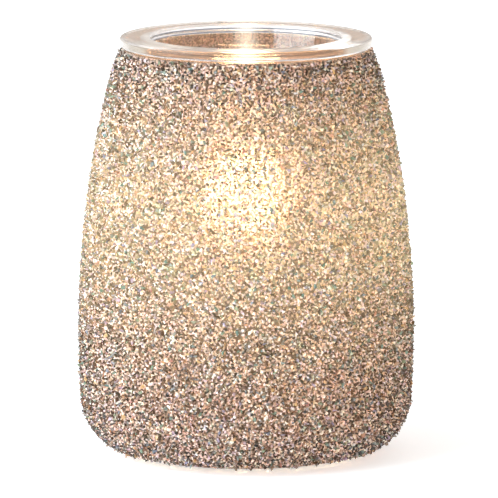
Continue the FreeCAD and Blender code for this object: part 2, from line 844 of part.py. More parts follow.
def socket_side_screws():
    """Two small screws through the stand's shaft that hold the socket."""
    body = new_body("socket_side_screws")
    shank = circle(new_sketch(body, "side_shank_circle", "YZ_Plane", "side_screw_inner"),
                   "0", "side_screw_height", "side_screw_radius")
    long = pad(body, shank, "side_shank", "stand_radius + side_screw_clearance - side_screw_inner")
    seat = "(stand_radius + side_screw_clearance)"
    head = circle(new_sketch(body, "side_head_circle", "YZ_Plane", seat), "0",
                  "side_screw_height", "side_screw_head_radius")
    crown = pad(body, head, "side_head", "side_screw_head")
    slot = new_sketch(body, "side_slot", "YZ_Plane", f"{seat} + side_screw_head")
    outline(slot, [
        ("-side_screw_head_radius - 1", "side_screw_height - side_screw_slot / 2"),
        ("side_screw_head_radius + 1", "side_screw_height - side_screw_slot / 2"),
        ("side_screw_head_radius + 1", "side_screw_height + side_screw_slot / 2"),
        ("-side_screw_head_radius - 1", "side_screw_height + side_screw_slot / 2"),
    ])
    cut = pocket(body, slot, "side_driver", "side_screw_slot")
    ring_of(body, [long, crown, cut], "side_ring", "2")


def socket_screw_shell():
    """Brass screw shell with an internal thread and an inturned flange at its foot."""
    body = new_body("socket_screw_shell")
    inside = "(shell_radius - shell_sheet)"
    section = outline(new_sketch(body, "shell_section", "XZ_Plane"), [
        ("shell_flange_radius", "socket_floor_over"),
        ("shell_radius", "socket_floor_over"),
        ("shell_radius", "shell_rim"),
        (inside, "shell_rim"),
        (inside, "socket_floor_over + shell_sheet"),
        ("shell_flange_radius", "socket_floor_over + shell_sheet"),
    ])
    revolve(body, section, "shell_turned")
    helix_ridge(body, "shell_thread", f"({inside} + thread_root)", f"({inside} - thread_height)",
                "shell_thread_start", "shell_thread_length")
    drill = new_sketch(body, "shell_rivet_circle", "XY_Plane", "socket_floor_over")
    circle(drill, "shell_rivet_offset", "0", "rivet_radius")
    pocket(body, drill, "shell_rivet_hole", "shell_sheet", backwards=True)


def socket_centre_contact():
    """Leaf spring bent over itself that the lamp's tip presses on."""
    body = new_body("socket_centre_contact")
    low = "socket_floor_over"
    section = outline(new_sketch(body, "contact_bend", "XZ_Plane"), [
        ("-contact_reach", low),
        ("contact_foot", low),
        ("contact_foot", f"{low} + contact_sheet"),
        ("-contact_reach + contact_sheet", f"{low} + contact_sheet"),
        ("-contact_reach + contact_sheet", "lamp_tip - contact_sheet"),
        ("tip_flat_radius", "lamp_tip - contact_sheet"),
        ("tip_flat_radius", "lamp_tip"),
        ("-contact_reach", "lamp_tip"),
    ])
    pad(body, section, "contact_strip", "contact_width", midplane=True)
    hole = circle(new_sketch(body, "contact_rivet_circle", "XY_Plane", low), "0", "0",
                  "rivet_radius")
    pocket(body, hole, "contact_rivet_hole", "contact_sheet", backwards=True)


def terminal(label, near, far, rivet, screw):
    """Brass terminal strip under the socket floor, from a rivet to its wire screw."""
    body = new_body(label)
    sketch = new_sketch(body, label + "_strip", "XY_Plane",
                        "socket_floor_under - terminal_sheet")
    outline(sketch, [
        (near, "-terminal_width / 2"),
        (far, "-terminal_width / 2"),
        (far, "terminal_width / 2"),
        (near, "terminal_width / 2"),
    ])
    circle(sketch, rivet, "0", "rivet_radius")
    circle(sketch, screw, "0", "terminal_screw_radius")
    pad(body, sketch, label + "_sheet", "terminal_sheet")


def upright_solids(label, axes, corners):
    """Turned solids on upright axes in the XZ plane, all of one outline."""
    body = new_body(label)
    for place, axis in enumerate(axes):
        sketch = axis_line(new_sketch(body, f"{label}_section_{place}", "XZ_Plane"), axis)
        outline(sketch, [(f"({axis}) + {r}" if r != "0" else axis, z) for r, z in corners(axis)])
        revolve(body, sketch, f"{label}_turned_{place}", "Axis0")


def terminal_screws():
    """Two wire screws, heads down, in the terminal strips."""
    seat = "(socket_floor_under - terminal_sheet)"
    upright_solids("terminal_screws", ["terminal_screw_offset", "-terminal_screw_offset"],
                   lambda _axis: [
        ("0", f"{seat} - terminal_screw_head"),
        ("terminal_screw_head_radius", f"{seat} - terminal_screw_head"),
        ("terminal_screw_head_radius", seat),
        ("terminal_screw_radius", seat),
        ("terminal_screw_radius", "terminal_screw_top"),
        ("0", "terminal_screw_top"),
    ])


def contact_rivets():
    """Rivets that join the contact and the shell to their terminals."""
    low = "(socket_floor_under - terminal_sheet)"

    def corners(axis):
        sheet_top = ("(socket_floor_over + contact_sheet)" if axis == "0"
                     else "(socket_floor_over + shell_sheet)")
        return [
            ("0", f"{low} - rivet_head"),
            ("rivet_head_radius", f"{low} - rivet_head"),
            ("rivet_head_radius", low),
            ("rivet_radius", low),
            ("rivet_radius", sheet_top),
            ("rivet_head_radius", sheet_top),
            ("rivet_head_radius", f"{sheet_top} + rivet_head"),
            ("0", f"{sheet_top} + rivet_head"),
        ]

    upright_solids("contact_rivets", ["0", "shell_rivet_offset"], corners)


# ---------------------------------------------------------------- lamp

def lamp_outline(offset, seal):
    """Right half of the lamp's bulb, moved in by OFFSET, from its seal to its crown."""
    globe = f"(globe_radius - {offset})"
    bend = f"(neck_arc + {offset})"
    neck = f"(neck_radius - {offset})"
    bend_r = "(neck_radius + neck_arc)"
    bend_z = (f"(globe_height - sqrt((globe_radius + neck_arc)^2 - {bend_r}^2))")
    share = f"({globe} / (globe_radius + neck_arc))"
    meet = (f"({bend_r} * {share})",
            f"(globe_height - (globe_height - {bend_z}) * {share})")
    return [
        ("0", seal),
        (neck, seal),
        (neck, bend_z, bend, "right"),
        (*meet, globe, "left"),
        ("0", f"globe_height + {globe}"),
    ]


def bulb_glass():
    """Clear blown envelope: a small globe that narrows to the neck, like a pear."""
    body = new_body("bulb_glass")
    outside = outline(new_sketch(body, "globe_outside", "XZ_Plane"),
                      lamp_outline("0", "neck_seal"))
    revolve(body, outside, "globe_blank")
    inside = outline(new_sketch(body, "globe_inside", "XZ_Plane"),
                     lamp_outline("lamp_glass", "neck_seal"))
    groove(body, inside, "globe_hollow")


def bulb_stem():
    """Glass flare and tube sealed into the neck, with a pressed tip that grips the leads."""
    body = new_body("bulb_stem")
    inside = "(neck_radius - lamp_glass)"
    section = outline(new_sketch(body, "stem_section", "XZ_Plane"), [
        ("0", "neck_seal"),
        (inside, "neck_seal"),
        (inside, "neck_seal + stem_skirt"),
        ("stem_radius", "neck_seal + stem_flare"),
        ("stem_radius", "pinch_under"),
        ("pinch_radius", "pinch_start"),
        ("pinch_radius", "pinch_stop"),
        ("0", "stem_top"),
    ])
    revolve(body, section, "stem_turned")
    for place, side in enumerate(("", "-")):
        hole = circle(new_sketch(body, f"lead_way_{place}", "XY_Plane", "neck_seal"),
                      f"{side}lead_offset", "0", "lead_radius")
        pocket(body, hole, f"lead_bore_{place}", "lead_bend - neck_seal", backwards=True)
        bend = outline(new_sketch(body, f"lead_slot_{place}", "XZ_Plane"), [
            (f"{side}lead_gap_inner", "lead_bend - 2 * lead_radius"),
            (f"{side}lead_gap_outer", "lead_bend - 2 * lead_radius"),
            (f"{side}lead_gap_outer", "stem_top + lead_radius"),
            (f"{side}lead_gap_inner", "stem_top + lead_radius"),
        ])
        pocket(body, bend, f"lead_gap_{place}", "2 * lead_radius", midplane=True)


def lead_wire(label, side):
    """Nickel lead from the cap's side, up the stem and out to one end of the filament."""
    body = new_body(label)
    start = f"{side}lead_offset"
    path = new_sketch(body, label + "_route", "XZ_Plane")
    stops = [(start, "neck_seal - lead_tail"), (start, "lead_bend"),
             (f"{side}lead_spread", "filament_height - lead_radius")]
    points = [FreeCAD.Vector(number(x), number(z), 0) for x, z in stops]
    for place in range(2):
        path.addGeometry(Part.LineSegment(points[place], points[place + 1]), False)
        pin(path, place, 1, *stops[place])
    path.addConstraint(Sketcher.Constraint("Coincident", 0, 2, 1, 1))
    pin(path, 1, 2, *stops[2])
    section = circle(new_sketch(body, label + "_round", "XY_Plane", "neck_seal - lead_tail"),
                     start, "0", "lead_radius")
    wire = body.newObject("PartDesign::AdditivePipe", label + "_drawn")
    wire.Profile = section
    wire.Spine = path
    wire.Transition = "Round corner"
    document.recompute()


def bulb_filament():
    """Tungsten coil between the leads, drawn as the arched tube that encloses it."""
    bow = "((lead_spread^2 + filament_sag^2) / (2 * filament_sag))"
    half_turn = "(2 * atan(filament_sag / lead_spread))"
    arch = document.addObject("Part::Torus", "filament_arch")
    bind(arch, "Radius1", bow)
    bind(arch, "Radius2", "filament_radius")
    bind(arch, "Angle3", f"2 * {half_turn}")
    upright = FreeCAD.Rotation(FreeCAD.Vector(1, 0, 0), 90)
    start = FreeCAD.Rotation(FreeCAD.Vector(0, 0, 1), 90 - number(half_turn))
    arch.Placement = FreeCAD.Placement(FreeCAD.Vector(), upright * start)
    bind(arch, "Placement.Base.z",
         f"filament_height + filament_radius + filament_sag - {bow}")
    keep(arch, "bulb_filament")


def bulb_cap_shell():
    """Brass screw cap: a threaded sleeve that opens into a collar round the neck."""
    body = new_body("bulb_cap_shell")
    inner = "(cap_radius - cap_sheet)"
    collar_inner = "(collar_radius - cap_sheet)"
    section = outline(new_sketch(body, "cap_section", "XZ_Plane"), [
        (inner, "cap_start"),
        ("cap_radius", "cap_start"),
        ("cap_radius", "cap_neck"),
        ("collar_radius", "cap_collar"),
        ("collar_radius", "cap_top"),
        (collar_inner, "cap_top"),
        (collar_inner, "cap_collar"),
        (inner, "cap_neck + thread_root"),
    ])
    revolve(body, section, "cap_turned")
    helix_ridge(body, "cap_thread", "(cap_radius - thread_root)", "(cap_radius + thread_height)",
                "cap_thread_start", "cap_thread_length")


def bulb_cap_insulator():
    """Black glass cone that keeps the tip contact apart from the cap."""
    body = new_body("bulb_cap_insulator")
    low = "(lamp_tip + tip_thickness)"
    section = outline(new_sketch(body, "insulator_section", "XZ_Plane"), [
        ("0", low),
        ("tip_radius + insulator_lip", low),
        ("cap_radius", "cap_start"),
        ("cap_radius - cap_sheet", "cap_start"),
        ("cap_radius - cap_sheet", "cap_start + insulator_depth"),
        ("0", "cap_start + insulator_depth"),
    ])
    revolve(body, section, "insulator_turned")


def bulb_tip_contact():
    """Solder button at the very end of the lamp."""
    body = new_body("bulb_tip_contact")
    section = outline(new_sketch(body, "tip_section", "XZ_Plane"), [
        ("0", "lamp_tip"),
        ("tip_flat_radius", "lamp_tip"),
        ("tip_radius", "lamp_tip + tip_shoulder"),
        ("tip_radius", "lamp_tip + tip_thickness"),
        ("0", "lamp_tip + tip_thickness"),
    ])
    revolve(body, section, "tip_turned")


# ---------------------------------------------------------------- build, check and export

def build():
    wax_dish()
    shade = glass_shade()
    crystal_coating()
    cord_grommet(shade)
    base_cover()
    gasket("lower_gasket", "cover_over", "lip_under")
    gasket("upper_gasket", "lip_over", "plate_under")
    lamp_plate()
    for place, angle in enumerate((45, 135, 225, 315), start=1):
        rubber_foot(f"rubber_foot_{place}", angle)
    screw_ring("clamp_screws", "clamp_circle", "clamp_count", "cover_under",
               "clamp_screw_top", head_below=True)
    clamp_nuts()
    socket_stand()
    screw_ring("stand_screws", "stand_screw_circle", "stand_screw_count",
               "(plate_over + stand_flange)", "(plate_under - stand_screw_proud)", head_below=False)
    socket_body()
    socket_side_screws()
    socket_screw_shell()
    socket_centre_contact()
    terminal("line_terminal", "-terminal_reach", "line_strip_end", "0", "-terminal_screw_offset")
    terminal("neutral_terminal", "neutral_strip_end", "terminal_reach", "shell_rivet_offset",
             "terminal_screw_offset")
    terminal_screws()
    contact_rivets()
    bulb_glass()
    bulb_stem()
    lead_wire("bulb_lead_left", "-")
    lead_wire("bulb_lead_right", "")
    bulb_filament()
    bulb_cap_shell()
    bulb_cap_insulator()
    bulb_tip_contact()
    document.recompute()


def faults():
    """Every object that failed to compute and every sub-part without a valid shape."""
    found = []
    for thing in document.Objects:
        if "Invalid" in thing.State or "Error" in thing.State:
            found.append(f"{thing.Name}: {thing.State}")
    for part in SUBPARTS:
        if part.Shape.isNull() or not part.Shape.isValid() or not part.Shape.Solids:
            found.append(f"{part.Label}: shape not sound")
    return found


def export():
    os.makedirs("parts", exist_ok=True)
    for part in SUBPARTS:
        part.Shape.exportStep(os.path.join("parts", part.Label + ".step"))
        box = part.Shape.BoundBox
        print(f"{part.Label:24s} solids {len(part.Shape.Solids)}  volume"
              f" {part.Shape.Volume:10.1f}  z {box.ZMin:7.2f} to {box.ZMax:7.2f}")


build()
problems = faults()
if problems:
    raise RuntimeError("; ".join(problems))
export()
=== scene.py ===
"""Looks of the wax warmer: a crushed-glass shade, its lamp and the clear wax dish."""

import logging
import math
from dataclasses import dataclass, field
from enum import Enum
from typing import Iterable, Mapping, Optional, Sequence, Union

import bmesh
import bpy
from bpy.types import ID, Material, Mesh, Node, NodeSocket, NodeTree, Object
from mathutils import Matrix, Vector


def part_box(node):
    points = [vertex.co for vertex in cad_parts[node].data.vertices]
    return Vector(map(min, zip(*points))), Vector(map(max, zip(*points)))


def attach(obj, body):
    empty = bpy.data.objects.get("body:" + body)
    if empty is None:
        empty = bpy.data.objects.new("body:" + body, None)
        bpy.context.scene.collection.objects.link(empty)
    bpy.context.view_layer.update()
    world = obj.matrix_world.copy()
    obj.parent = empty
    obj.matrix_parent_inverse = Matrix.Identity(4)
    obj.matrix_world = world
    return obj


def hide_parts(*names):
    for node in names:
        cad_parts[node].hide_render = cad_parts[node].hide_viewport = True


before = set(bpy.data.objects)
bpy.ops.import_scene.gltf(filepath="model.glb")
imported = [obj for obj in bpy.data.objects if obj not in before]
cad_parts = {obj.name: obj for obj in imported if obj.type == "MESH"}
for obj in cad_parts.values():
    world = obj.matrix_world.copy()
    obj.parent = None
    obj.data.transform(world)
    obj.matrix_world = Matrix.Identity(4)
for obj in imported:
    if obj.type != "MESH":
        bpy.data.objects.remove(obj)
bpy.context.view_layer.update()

MM = 0.001
SIDES = 192
FILLET_STEPS = 8
FILLET_LIMIT = 0.49
INLET_SIDES = 48
INLET_DEPTH = 40.0 * MM
ON_AXIS = 1e-7
WELD_REACH = 1e-6
LEVEL = 1e-9
LOG = logging.getLogger("wax_warmer")
Point = tuple[float, float]
Colour = tuple[float, float, float]
WHITE: Colour = (1.0, 1.0, 1.0)


# ---- node trees as Python

class Wire:
    """An output socket that takes part in arithmetic, each step adding a Math node."""

    def __init__(self, graph: "Graph", socket: NodeSocket) -> None:
        """Wrap SOCKET, which belongs to GRAPH."""
        self.graph = graph
        self.socket = socket

    def _math(self, operation: str, *values: "Value") -> "Wire":
        """Add a Math node.

        Args:
            operation: the node's operation.
            values: its inputs, in order.

        Returns:
            The node's output.
        """
        node = self.graph.add("ShaderNodeMath", {"operation": operation},
                              dict(enumerate(values)))
        return Wire(self.graph, node.outputs[0])

    def __add__(self, other: "Value") -> "Wire":
        """self + other."""
        return self._math("ADD", self, other)

    __radd__ = __add__

    def __mul__(self, other: "Value") -> "Wire":
        """self * other."""
        return self._math("MULTIPLY", self, other)

    __rmul__ = __mul__

    def __sub__(self, other: "Value") -> "Wire":
        """self - other."""
        return self._math("SUBTRACT", self, other)

    def __rsub__(self, other: "Value") -> "Wire":
        """other - self."""
        return self._math("SUBTRACT", other, self)

    def __pow__(self, other: "Value") -> "Wire":
        """self to the power of other."""
        return self._math("POWER", self, other)

    def above(self, limit: "Value") -> "Wire":
        """1 where self is greater than LIMIT, else 0."""
        return self._math("GREATER_THAN", self, limit)

    def below(self, limit: "Value") -> "Wire":
        """1 where self is less than LIMIT, else 0."""
        return self._math("LESS_THAN", self, limit)

    def sine(self) -> "Wire":
        """Sine of self, in radians."""
        return self._math("SINE", self)

    def ramped(self, low: float, high: float, start: float = 0.0, stop: float = 1.0) -> "Wire":
        """Map self smoothly from LOW..HIGH to START..STOP.

        Args:
            low: value that gives START.
            high: value that gives STOP.
            start: result at LOW and below.
            stop: result at HIGH and above.

        Returns:
            The mapped value.
        """
        node = self.graph.add("ShaderNodeMapRange", {"interpolation_type": "SMOOTHSTEP"}, {
            "Value": self, "From Min": low, "From Max": high, "To Min": start, "To Max": stop})
        return Wire(self.graph, node.outputs["Result"])


Value = Union[float, int, str, Sequence[float], Sequence[Wire], Wire]
Settings = Optional[Mapping[str, object]]
Inputs = Optional[Mapping[Union[str, int], Value]]


class Graph:
    """A node tree that is written with add() and Wire arithmetic."""

    def __init__(self, tree: NodeTree) -> None:
        """Write into TREE, after emptying it."""
        self.tree = tree
        tree.nodes.clear()

    def add(self, kind: str, settings: Settings = None, inputs: Inputs = None) -> Node:
        """Add one node, its settings first and then its inputs.

        Args:
            kind: the node's type.
            settings: properties of the node.
            inputs: values or wires for its sockets, by name or number.

        Returns:
            The node.
        """
        node = self.tree.nodes.new(kind)
        for name, setting in (settings or {}).items():
            setattr(node, name, setting)
        for name, value in (inputs or {}).items():
            socket = node.inputs[name]
            if isinstance(value, (list, Wire)):
                for wire in value if isinstance(value, list) else [value]:
                    self.tree.links.new(wire.socket, socket)
            else:
                socket.default_value = (*value, 1.0) if socket.type == "RGBA" else value
        return node

    def wire(self, kind: str, output: Union[str, int] = 0, settings: Settings = None,
             inputs: Inputs = None) -> Wire:
        """Add one node and return one of its outputs as a Wire."""
        return Wire(self, self.add(kind, settings, inputs).outputs[output])

    def split(self, vector: Wire) -> tuple[Wire, Wire, Wire]:
        """The x, y and z of a VECTOR."""
        node = self.add("ShaderNodeSeparateXYZ", None, {0: vector})
        return tuple(Wire(self, output) for output in node.outputs)

    def scaled(self, vector: Value, amount: Value) -> Wire:
        """A VECTOR or colour times a number or wire AMOUNT."""
        return self.wire("ShaderNodeVectorMath", 0, {"operation": "SCALE"},
                         {0: vector, "Scale": amount})


class Paint(Graph):
    """A material: a Graph that ends in one Principled shader."""

    def __init__(self, name: str) -> None:
        """Start the material.

        Args:
            name: its name.
        """
        self.material = bpy.data.materials.new(name)
        self.material.use_nodes = True
        super().__init__(self.material.node_tree)
        self._place: Optional[Wire] = None

    def place(self) -> Wire:
        """Object coordinates, in metres, in the frame of the model."""
        if self._place is None:
            self._place = self.wire("ShaderNodeTexCoord", "Object")
        return self._place

    def axes(self) -> tuple[Wire, Wire, Wire]:
        """The x, y and z of place()."""
        return self.split(self.place())

    def noise(self, scale: float, detail: float = 2.0, roughness: float = 0.5) -> Wire:
        """Smooth noise, 0 to 1, with SCALE features to the metre."""
        return self.wire("ShaderNodeTexNoise", 0, None, {
            "Vector": self.place(), "Scale": scale, "Detail": detail, "Roughness": roughness})

    def cells(self, scale: float) -> Wire:
        """Distance to the middle of a random cell, SCALE cells to the metre."""
        return self.wire("ShaderNodeTexVoronoi", "Distance", None,
                         {"Vector": self.place(), "Scale": scale})

    def ramp(self, factor: Wire, stops: Sequence[tuple[float, Colour]]) -> Wire:
        """Colour from a ramp.

        Args:
            factor: place on the ramp, 0 to 1.
            stops: position and colour of each of its stops.

        Returns:
            The colour.
        """
        node = self.add("ShaderNodeValToRGB", None, {0: factor})
        elements = node.color_ramp.elements
        while len(elements) < len(stops):
            elements.new(0.5)
        for element, (position, colour) in zip(elements, stops):
            element.position = position
            element.color = (*colour, 1.0)
        return Wire(self, node.outputs[0])

    def blend(self, factor: Value, first: Value, second: Value, mode: str = "MIX") -> Wire:
        """Mix two colours.

        Args:
            factor: 0 gives FIRST and 1 gives SECOND.
            first: a colour.
            second: a colour.
            mode: the mix node's blend type.

        Returns:
            The mixed colour.
        """
        return self.wire("ShaderNodeMix", 2, {"data_type": "RGBA", "blend_type": mode},
                         {0: factor, 6: first, 7: second})

    def bump(self, height: Wire, depth: float) -> Wire:
        """Normal of a relief HEIGHT that stands DEPTH metres at 1."""
        return self.wire("ShaderNodeBump", 0, None, {"Height": height, "Distance": depth})

    def finish(self, **inputs: Value) -> Material:
        """Close the material; a glow has a strength of 1 unless it is stated.

        Args:
            inputs: sockets of the Principled shader, with _ for a space.

        Returns:
            The material.
        """
        named = {name.replace("_", " "): value for name, value in inputs.items()}
        if "Emission Color" in named:
            named.setdefault("Emission Strength", 1.0)
        shader = self.wire("ShaderNodeBsdfPrincipled", 0, None, named)
        self.add("ShaderNodeOutputMaterial", None, {"Surface": shader})
        return self.material


# ---- sizes shared by pieces

@dataclass(frozen=True)
class Arc:
    """Circular arc in the (radius, height) plane."""

    centre: Point
    radius: float
    start: float
    stop: float

    def points(self, count: int) -> list[Point]:
        """Points along the arc.

        Args:
            count: number of equal steps.

        Returns:
            COUNT + 1 points, from the start angle to the stop angle, both in radians.
        """
        step = (self.stop - self.start) / count
        return [(self.centre[0] + self.radius * math.cos(self.start + step * index),
                 self.centre[1] + self.radius * math.sin(self.start + step * index))
                for index in range(count + 1)]


@dataclass(frozen=True)
class ShadeShape:
    """The shade's driving sizes, in metres, and the curves that they give."""

    belly_radius: float = 70.6 * MM
    belly_height: float = 52.0 * MM
    wall_arc: float = 453.0 * MM
    shoulder_height: float = 163.0 * MM
    shoulder_arc: float = 57.0 * MM
    corner_arc: float = 24.5 * MM
    inner_corner_arc: float = 20.0 * MM
    foot: float = 1.5 * MM
    foot_land: float = 1.6 * MM
    punt_radius: float = 41.2 * MM
    lip_radius: float = 34.0 * MM
    lip_under: float = 4.8 * MM
    lip_over: float = 8.6 * MM
    wall: float = 4.0 * MM
    rim_rounding: float = 1.2 * MM
    coat_start: float = 2.1 * MM
    coat_stop: float = 175.2 * MM
    steps: tuple[int, int, int] = (20, 48, 10)

    @property
    def top(self) -> float:
        """Height of the shade's rim, where the dish rests."""
        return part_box("glass_shade")[1].z

    @property
    def wall_centre(self) -> Point:
        """Centre of the long arc of the wall."""
        return self.belly_radius - self.wall_arc, self.belly_height

    def corner(self, wall: float, radius: float, floor: float) -> tuple[Point, float]:
        """Corner between a level floor and a wall arc, tangent to both.

        Args:
            wall: radius of the wall arc.
            radius: radius of the corner.
            floor: height of the floor.

        Returns:
            The corner's centre, and the angle at which it meets the wall.
        """
        centre_r, centre_z = self.wall_centre
        height = floor + radius
        drop = height - centre_z
        across = math.sqrt((wall - radius) ** 2 - drop ** 2)
        return (centre_r + across, height), math.atan2(drop, across)

    def shoulder(self) -> tuple[Point, float]:
        """Arc that closes the wall in at the top.

        Returns:
            Its centre, and the angle at which it leaves the wall.
        """
        centre_r, centre_z = self.wall_centre
        angle = math.asin((self.shoulder_height - centre_z) / self.wall_arc)
        reach = self.wall_arc - self.shoulder_arc
        return (centre_r + reach * math.cos(angle), centre_z + reach * math.sin(angle)), angle

    def side(self, inset: float, corner: float, floor: float, low: Optional[float],
             high: float) -> list[Point]:
        """Outline of the side, from the floor or a low height up to a high one.

        Args:
            inset: distance inside the outer surface.
            corner: radius of the bottom corner.
            floor: height of the floor.
            low: height at which the outline starts, or None for the floor itself.
            high: height at which it ends.

        Returns:
            Points from bottom to top.
        """
        wall = self.wall_arc - inset
        centre, meet = self.corner(wall, corner, floor)
        start = -math.pi / 2 if low is None else math.asin((low - centre[1]) / corner)
        top_centre, leave = self.shoulder()
        shoulder = self.shoulder_arc - inset
        end = math.asin((high - top_centre[1]) / shoulder)
        return (Arc(centre, corner, start, meet).points(self.steps[0])[:-1]
                + Arc(self.wall_centre, wall, meet, leave).points(self.steps[1])[:-1]
                + Arc(top_centre, shoulder, leave, end).points(self.steps[2]))

    def coat(self, out: float) -> list[Point]:
        """Outline of the coated part of the side, OUT metres off the glass."""
        return self.side(-out, self.corner_arc + out, self.foot - out, self.coat_start,
                         self.coat_stop)


SHADE = ShadeShape()


def filleted(corners: Sequence[tuple[float, float, float]]) -> list[Point]:
    """Outline with rounded corners.

    Args:
        corners: (radius, height, rounding) of each corner, in order.

    Returns:
        The points of the outline.
    """
    points: list[Point] = []
    count = len(corners)
    for index, (r, z, rounding) in enumerate(corners):
        here = Vector((r, z))
        before = Vector(corners[index - 1][:2]) - here
        after = Vector(corners[(index + 1) % count][:2]) - here
        if rounding <= 0:
            points.append((r, z))
            continue
        half = before.angle(after) / 2
        reach = min(rounding / math.tan(half), before.length * FILLET_LIMIT,
                    after.length * FILLET_LIMIT)
        start = here + before.normalized() * reach
        stop = here + after.normalized() * reach
        radius = reach * math.tan(half)
        middle = here + (before.normalized() + after.normalized()).normalized() * (
            radius / math.sin(half))
        first = math.atan2(start.y - middle.y, start.x - middle.x)
        turn = math.atan2(stop.y - middle.y, stop.x - middle.x) - first
        turn = (turn + math.pi) % (2 * math.pi) - math.pi
        points += Arc(tuple(middle), radius, first, first + turn).points(FILLET_STEPS)
    return points


# ---- meshes

def new_piece(name: str, data: ID,
              materials: Iterable[Material] = ()) -> Object:
    """Make an object and link it to the scene.

    Args:
        name: its name.
        data: its mesh, light or camera.
        materials: materials to add to the mesh.

    Returns:
        The object.
    """
    piece = bpy.data.objects.new(name, data)
    bpy.context.scene.collection.objects.link(piece)
    for material in materials:
        data.materials.append(material)
    return piece


def smoothed(mesh: Mesh, crease: float) -> None:
    """Shade MESH smooth, but for edges sharper than CREASE degrees."""
    mesh.polygons.foreach_set("use_smooth", [True] * len(mesh.polygons))
    mesh.set_sharp_from_angle(angle=math.radians(crease))


def lathe(name: str, outline: Sequence[Point], material: Optional[Material] = None,
          sides: int = SIDES, closed: bool = True, crease: float = 40.0) -> Object:
    """Turn an outline round Z.

    Args:
        name: the piece's name.
        outline: (radius, height) points, anticlockwise round the solid.
        material: its material.
        sides: flat sides round the axis.
        closed: whether the last point joins the first.
        crease: edges sharper than this angle, in degrees, stay sharp.

    Returns:
        The piece, smooth shaded.
    """
    shape = bmesh.new()
    rings = []
    for r, z in outline:
        if r < ON_AXIS:
            rings.append([shape.verts.new((0.0, 0.0, z))])
            continue
        rings.append([shape.verts.new((r * math.cos(turn), r * math.sin(turn), z))
                      for turn in (2 * math.pi * side / sides for side in range(sides))])
    pairs = list(zip(rings, rings[1:])) + ([(rings[-1], rings[0])] if closed else [])
    for low, high in pairs:
        if len(low) == 1 and len(high) == 1:
            continue
        for side in range(sides):
            after = (side + 1) % sides
            if len(low) == 1:
                corners = (low[0], high[after], high[side])
            elif len(high) == 1:
                corners = (low[side], low[after], high[0])
            else:
                corners = (low[side], low[after], high[after], high[side])
            shape.faces.new(corners)
    mesh = bpy.data.meshes.new(name)
    shape.to_mesh(mesh)
    shape.free()
    smoothed(mesh, crease)
    return new_piece(name, mesh, [material] if material else [])


def baked(piece: Object) -> Object:
    """Turn the modifiers of a piece into plain mesh and remove them.

    Args:
        piece: the piece.

    Returns:
        The same piece.
    """
    bpy.context.view_layer.update()
    evaluated = piece.evaluated_get(bpy.context.evaluated_depsgraph_get())
    mesh = bpy.data.meshes.new_from_object(evaluated)
    piece.modifiers.clear()
    piece.data = mesh
    mesh.name = piece.name
    return piece


def from_nodes(name: str, mesh: Mesh, tree: NodeTree,
               inputs: Mapping[str, object]) -> Object:
    """Run a geometry tree on a mesh and keep the result as a plain mesh.

    Args:
        name: the piece's name.
        mesh: the mesh that the tree starts from.
        tree: the geometry tree.
        inputs: value of each of its named inputs.

    Returns:
        The piece.
    """
    piece = new_piece(name, mesh)
    modifier = piece.modifiers.new("Shape", "NODES")
    modifier.node_group = tree
    sockets = {item.name: item.identifier for item in tree.interface.items_tree
               if item.item_type == "SOCKET" and item.in_out == "INPUT"}
    for label, value in inputs.items():
        modifier[sockets[label]] = value
    return baked(piece)


def weld(piece: Object, crease: float = 35.0) -> Object:
    """Merge the doubled points of a piece and shade it smooth.

    Args:
        piece: the piece.
        crease: edges sharper than this angle, in degrees, stay sharp.

    Returns:
        The same piece.
    """
    shape = bmesh.new()
    shape.from_mesh(piece.data)
    bmesh.ops.remove_doubles(shape, verts=shape.verts, dist=WELD_REACH)
    shape.to_mesh(piece.data)
    shape.free()
    smoothed(piece.data, crease)
    return piece


def punched(piece: Object, height: float, radius: float) -> Object:
    """Cut the round cord inlet out of the back of a piece.

    Args:
        piece: a closed mesh round the Z axis.
        height: height of the inlet's middle.
        radius: its radius.

    Returns:
        The same piece, with the hole.
    """
    cutter_mesh = bpy.data.meshes.new("cutter")
    shape = bmesh.new()
    bmesh.ops.create_cone(shape, cap_ends=True, segments=INLET_SIDES, radius1=radius,
                          radius2=radius, depth=INLET_DEPTH)
    shape.to_mesh(cutter_mesh)
    shape.free()
    cutter = new_piece("cutter", cutter_mesh)
    cutter.rotation_euler = (math.pi / 2, 0.0, 0.0)
    cutter.location = (0.0, SHADE.belly_radius, height)
    cut = piece.modifiers.new("Inlet", "BOOLEAN")
    cut.operation = "DIFFERENCE"
    cut.solver = "EXACT"
    cut.object = cutter
    baked(piece)
    bpy.data.objects.remove(cutter)
    bpy.data.meshes.remove(cutter_mesh)
    return piece


def placed(piece: Object, body: str, slot: str, *nodes: str) -> Object:
    """Put a piece on its body, hide the CAD nodes it stands for and log it.

    Args:
        piece: the piece.
        body: body it rides on.
        slot: record slot of its finish; not used.
        nodes: the CAD nodes it stands for.

    Returns:
        The same piece.
    """
    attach(piece, body)
    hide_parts(*nodes)
    LOG.info("%s: %d faces on %s", piece.name, len(piece.data.polygons), body)
    return piece


def smooth_copy(node: str, name: str, body: str, slot: str,
                material: Material) -> Object:
    """Stand-in for a CAD node, with its round faces shaded smooth.

    Args:
        node: the CAD node.
        name: name of the new piece.
        body: body it rides on.
        slot: record slot of its finish.
        material: its material.

    Returns:
        The piece.
    """
    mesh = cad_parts[node].data.copy()
    mesh.materials.clear()
    mesh.name = name
    piece = weld(new_piece(name, mesh, [material]))
    piece.data.polygons.foreach_set("material_index", [0] * len(piece.data.polygons))
    return placed(piece, body, slot, node)


# ---- finishes

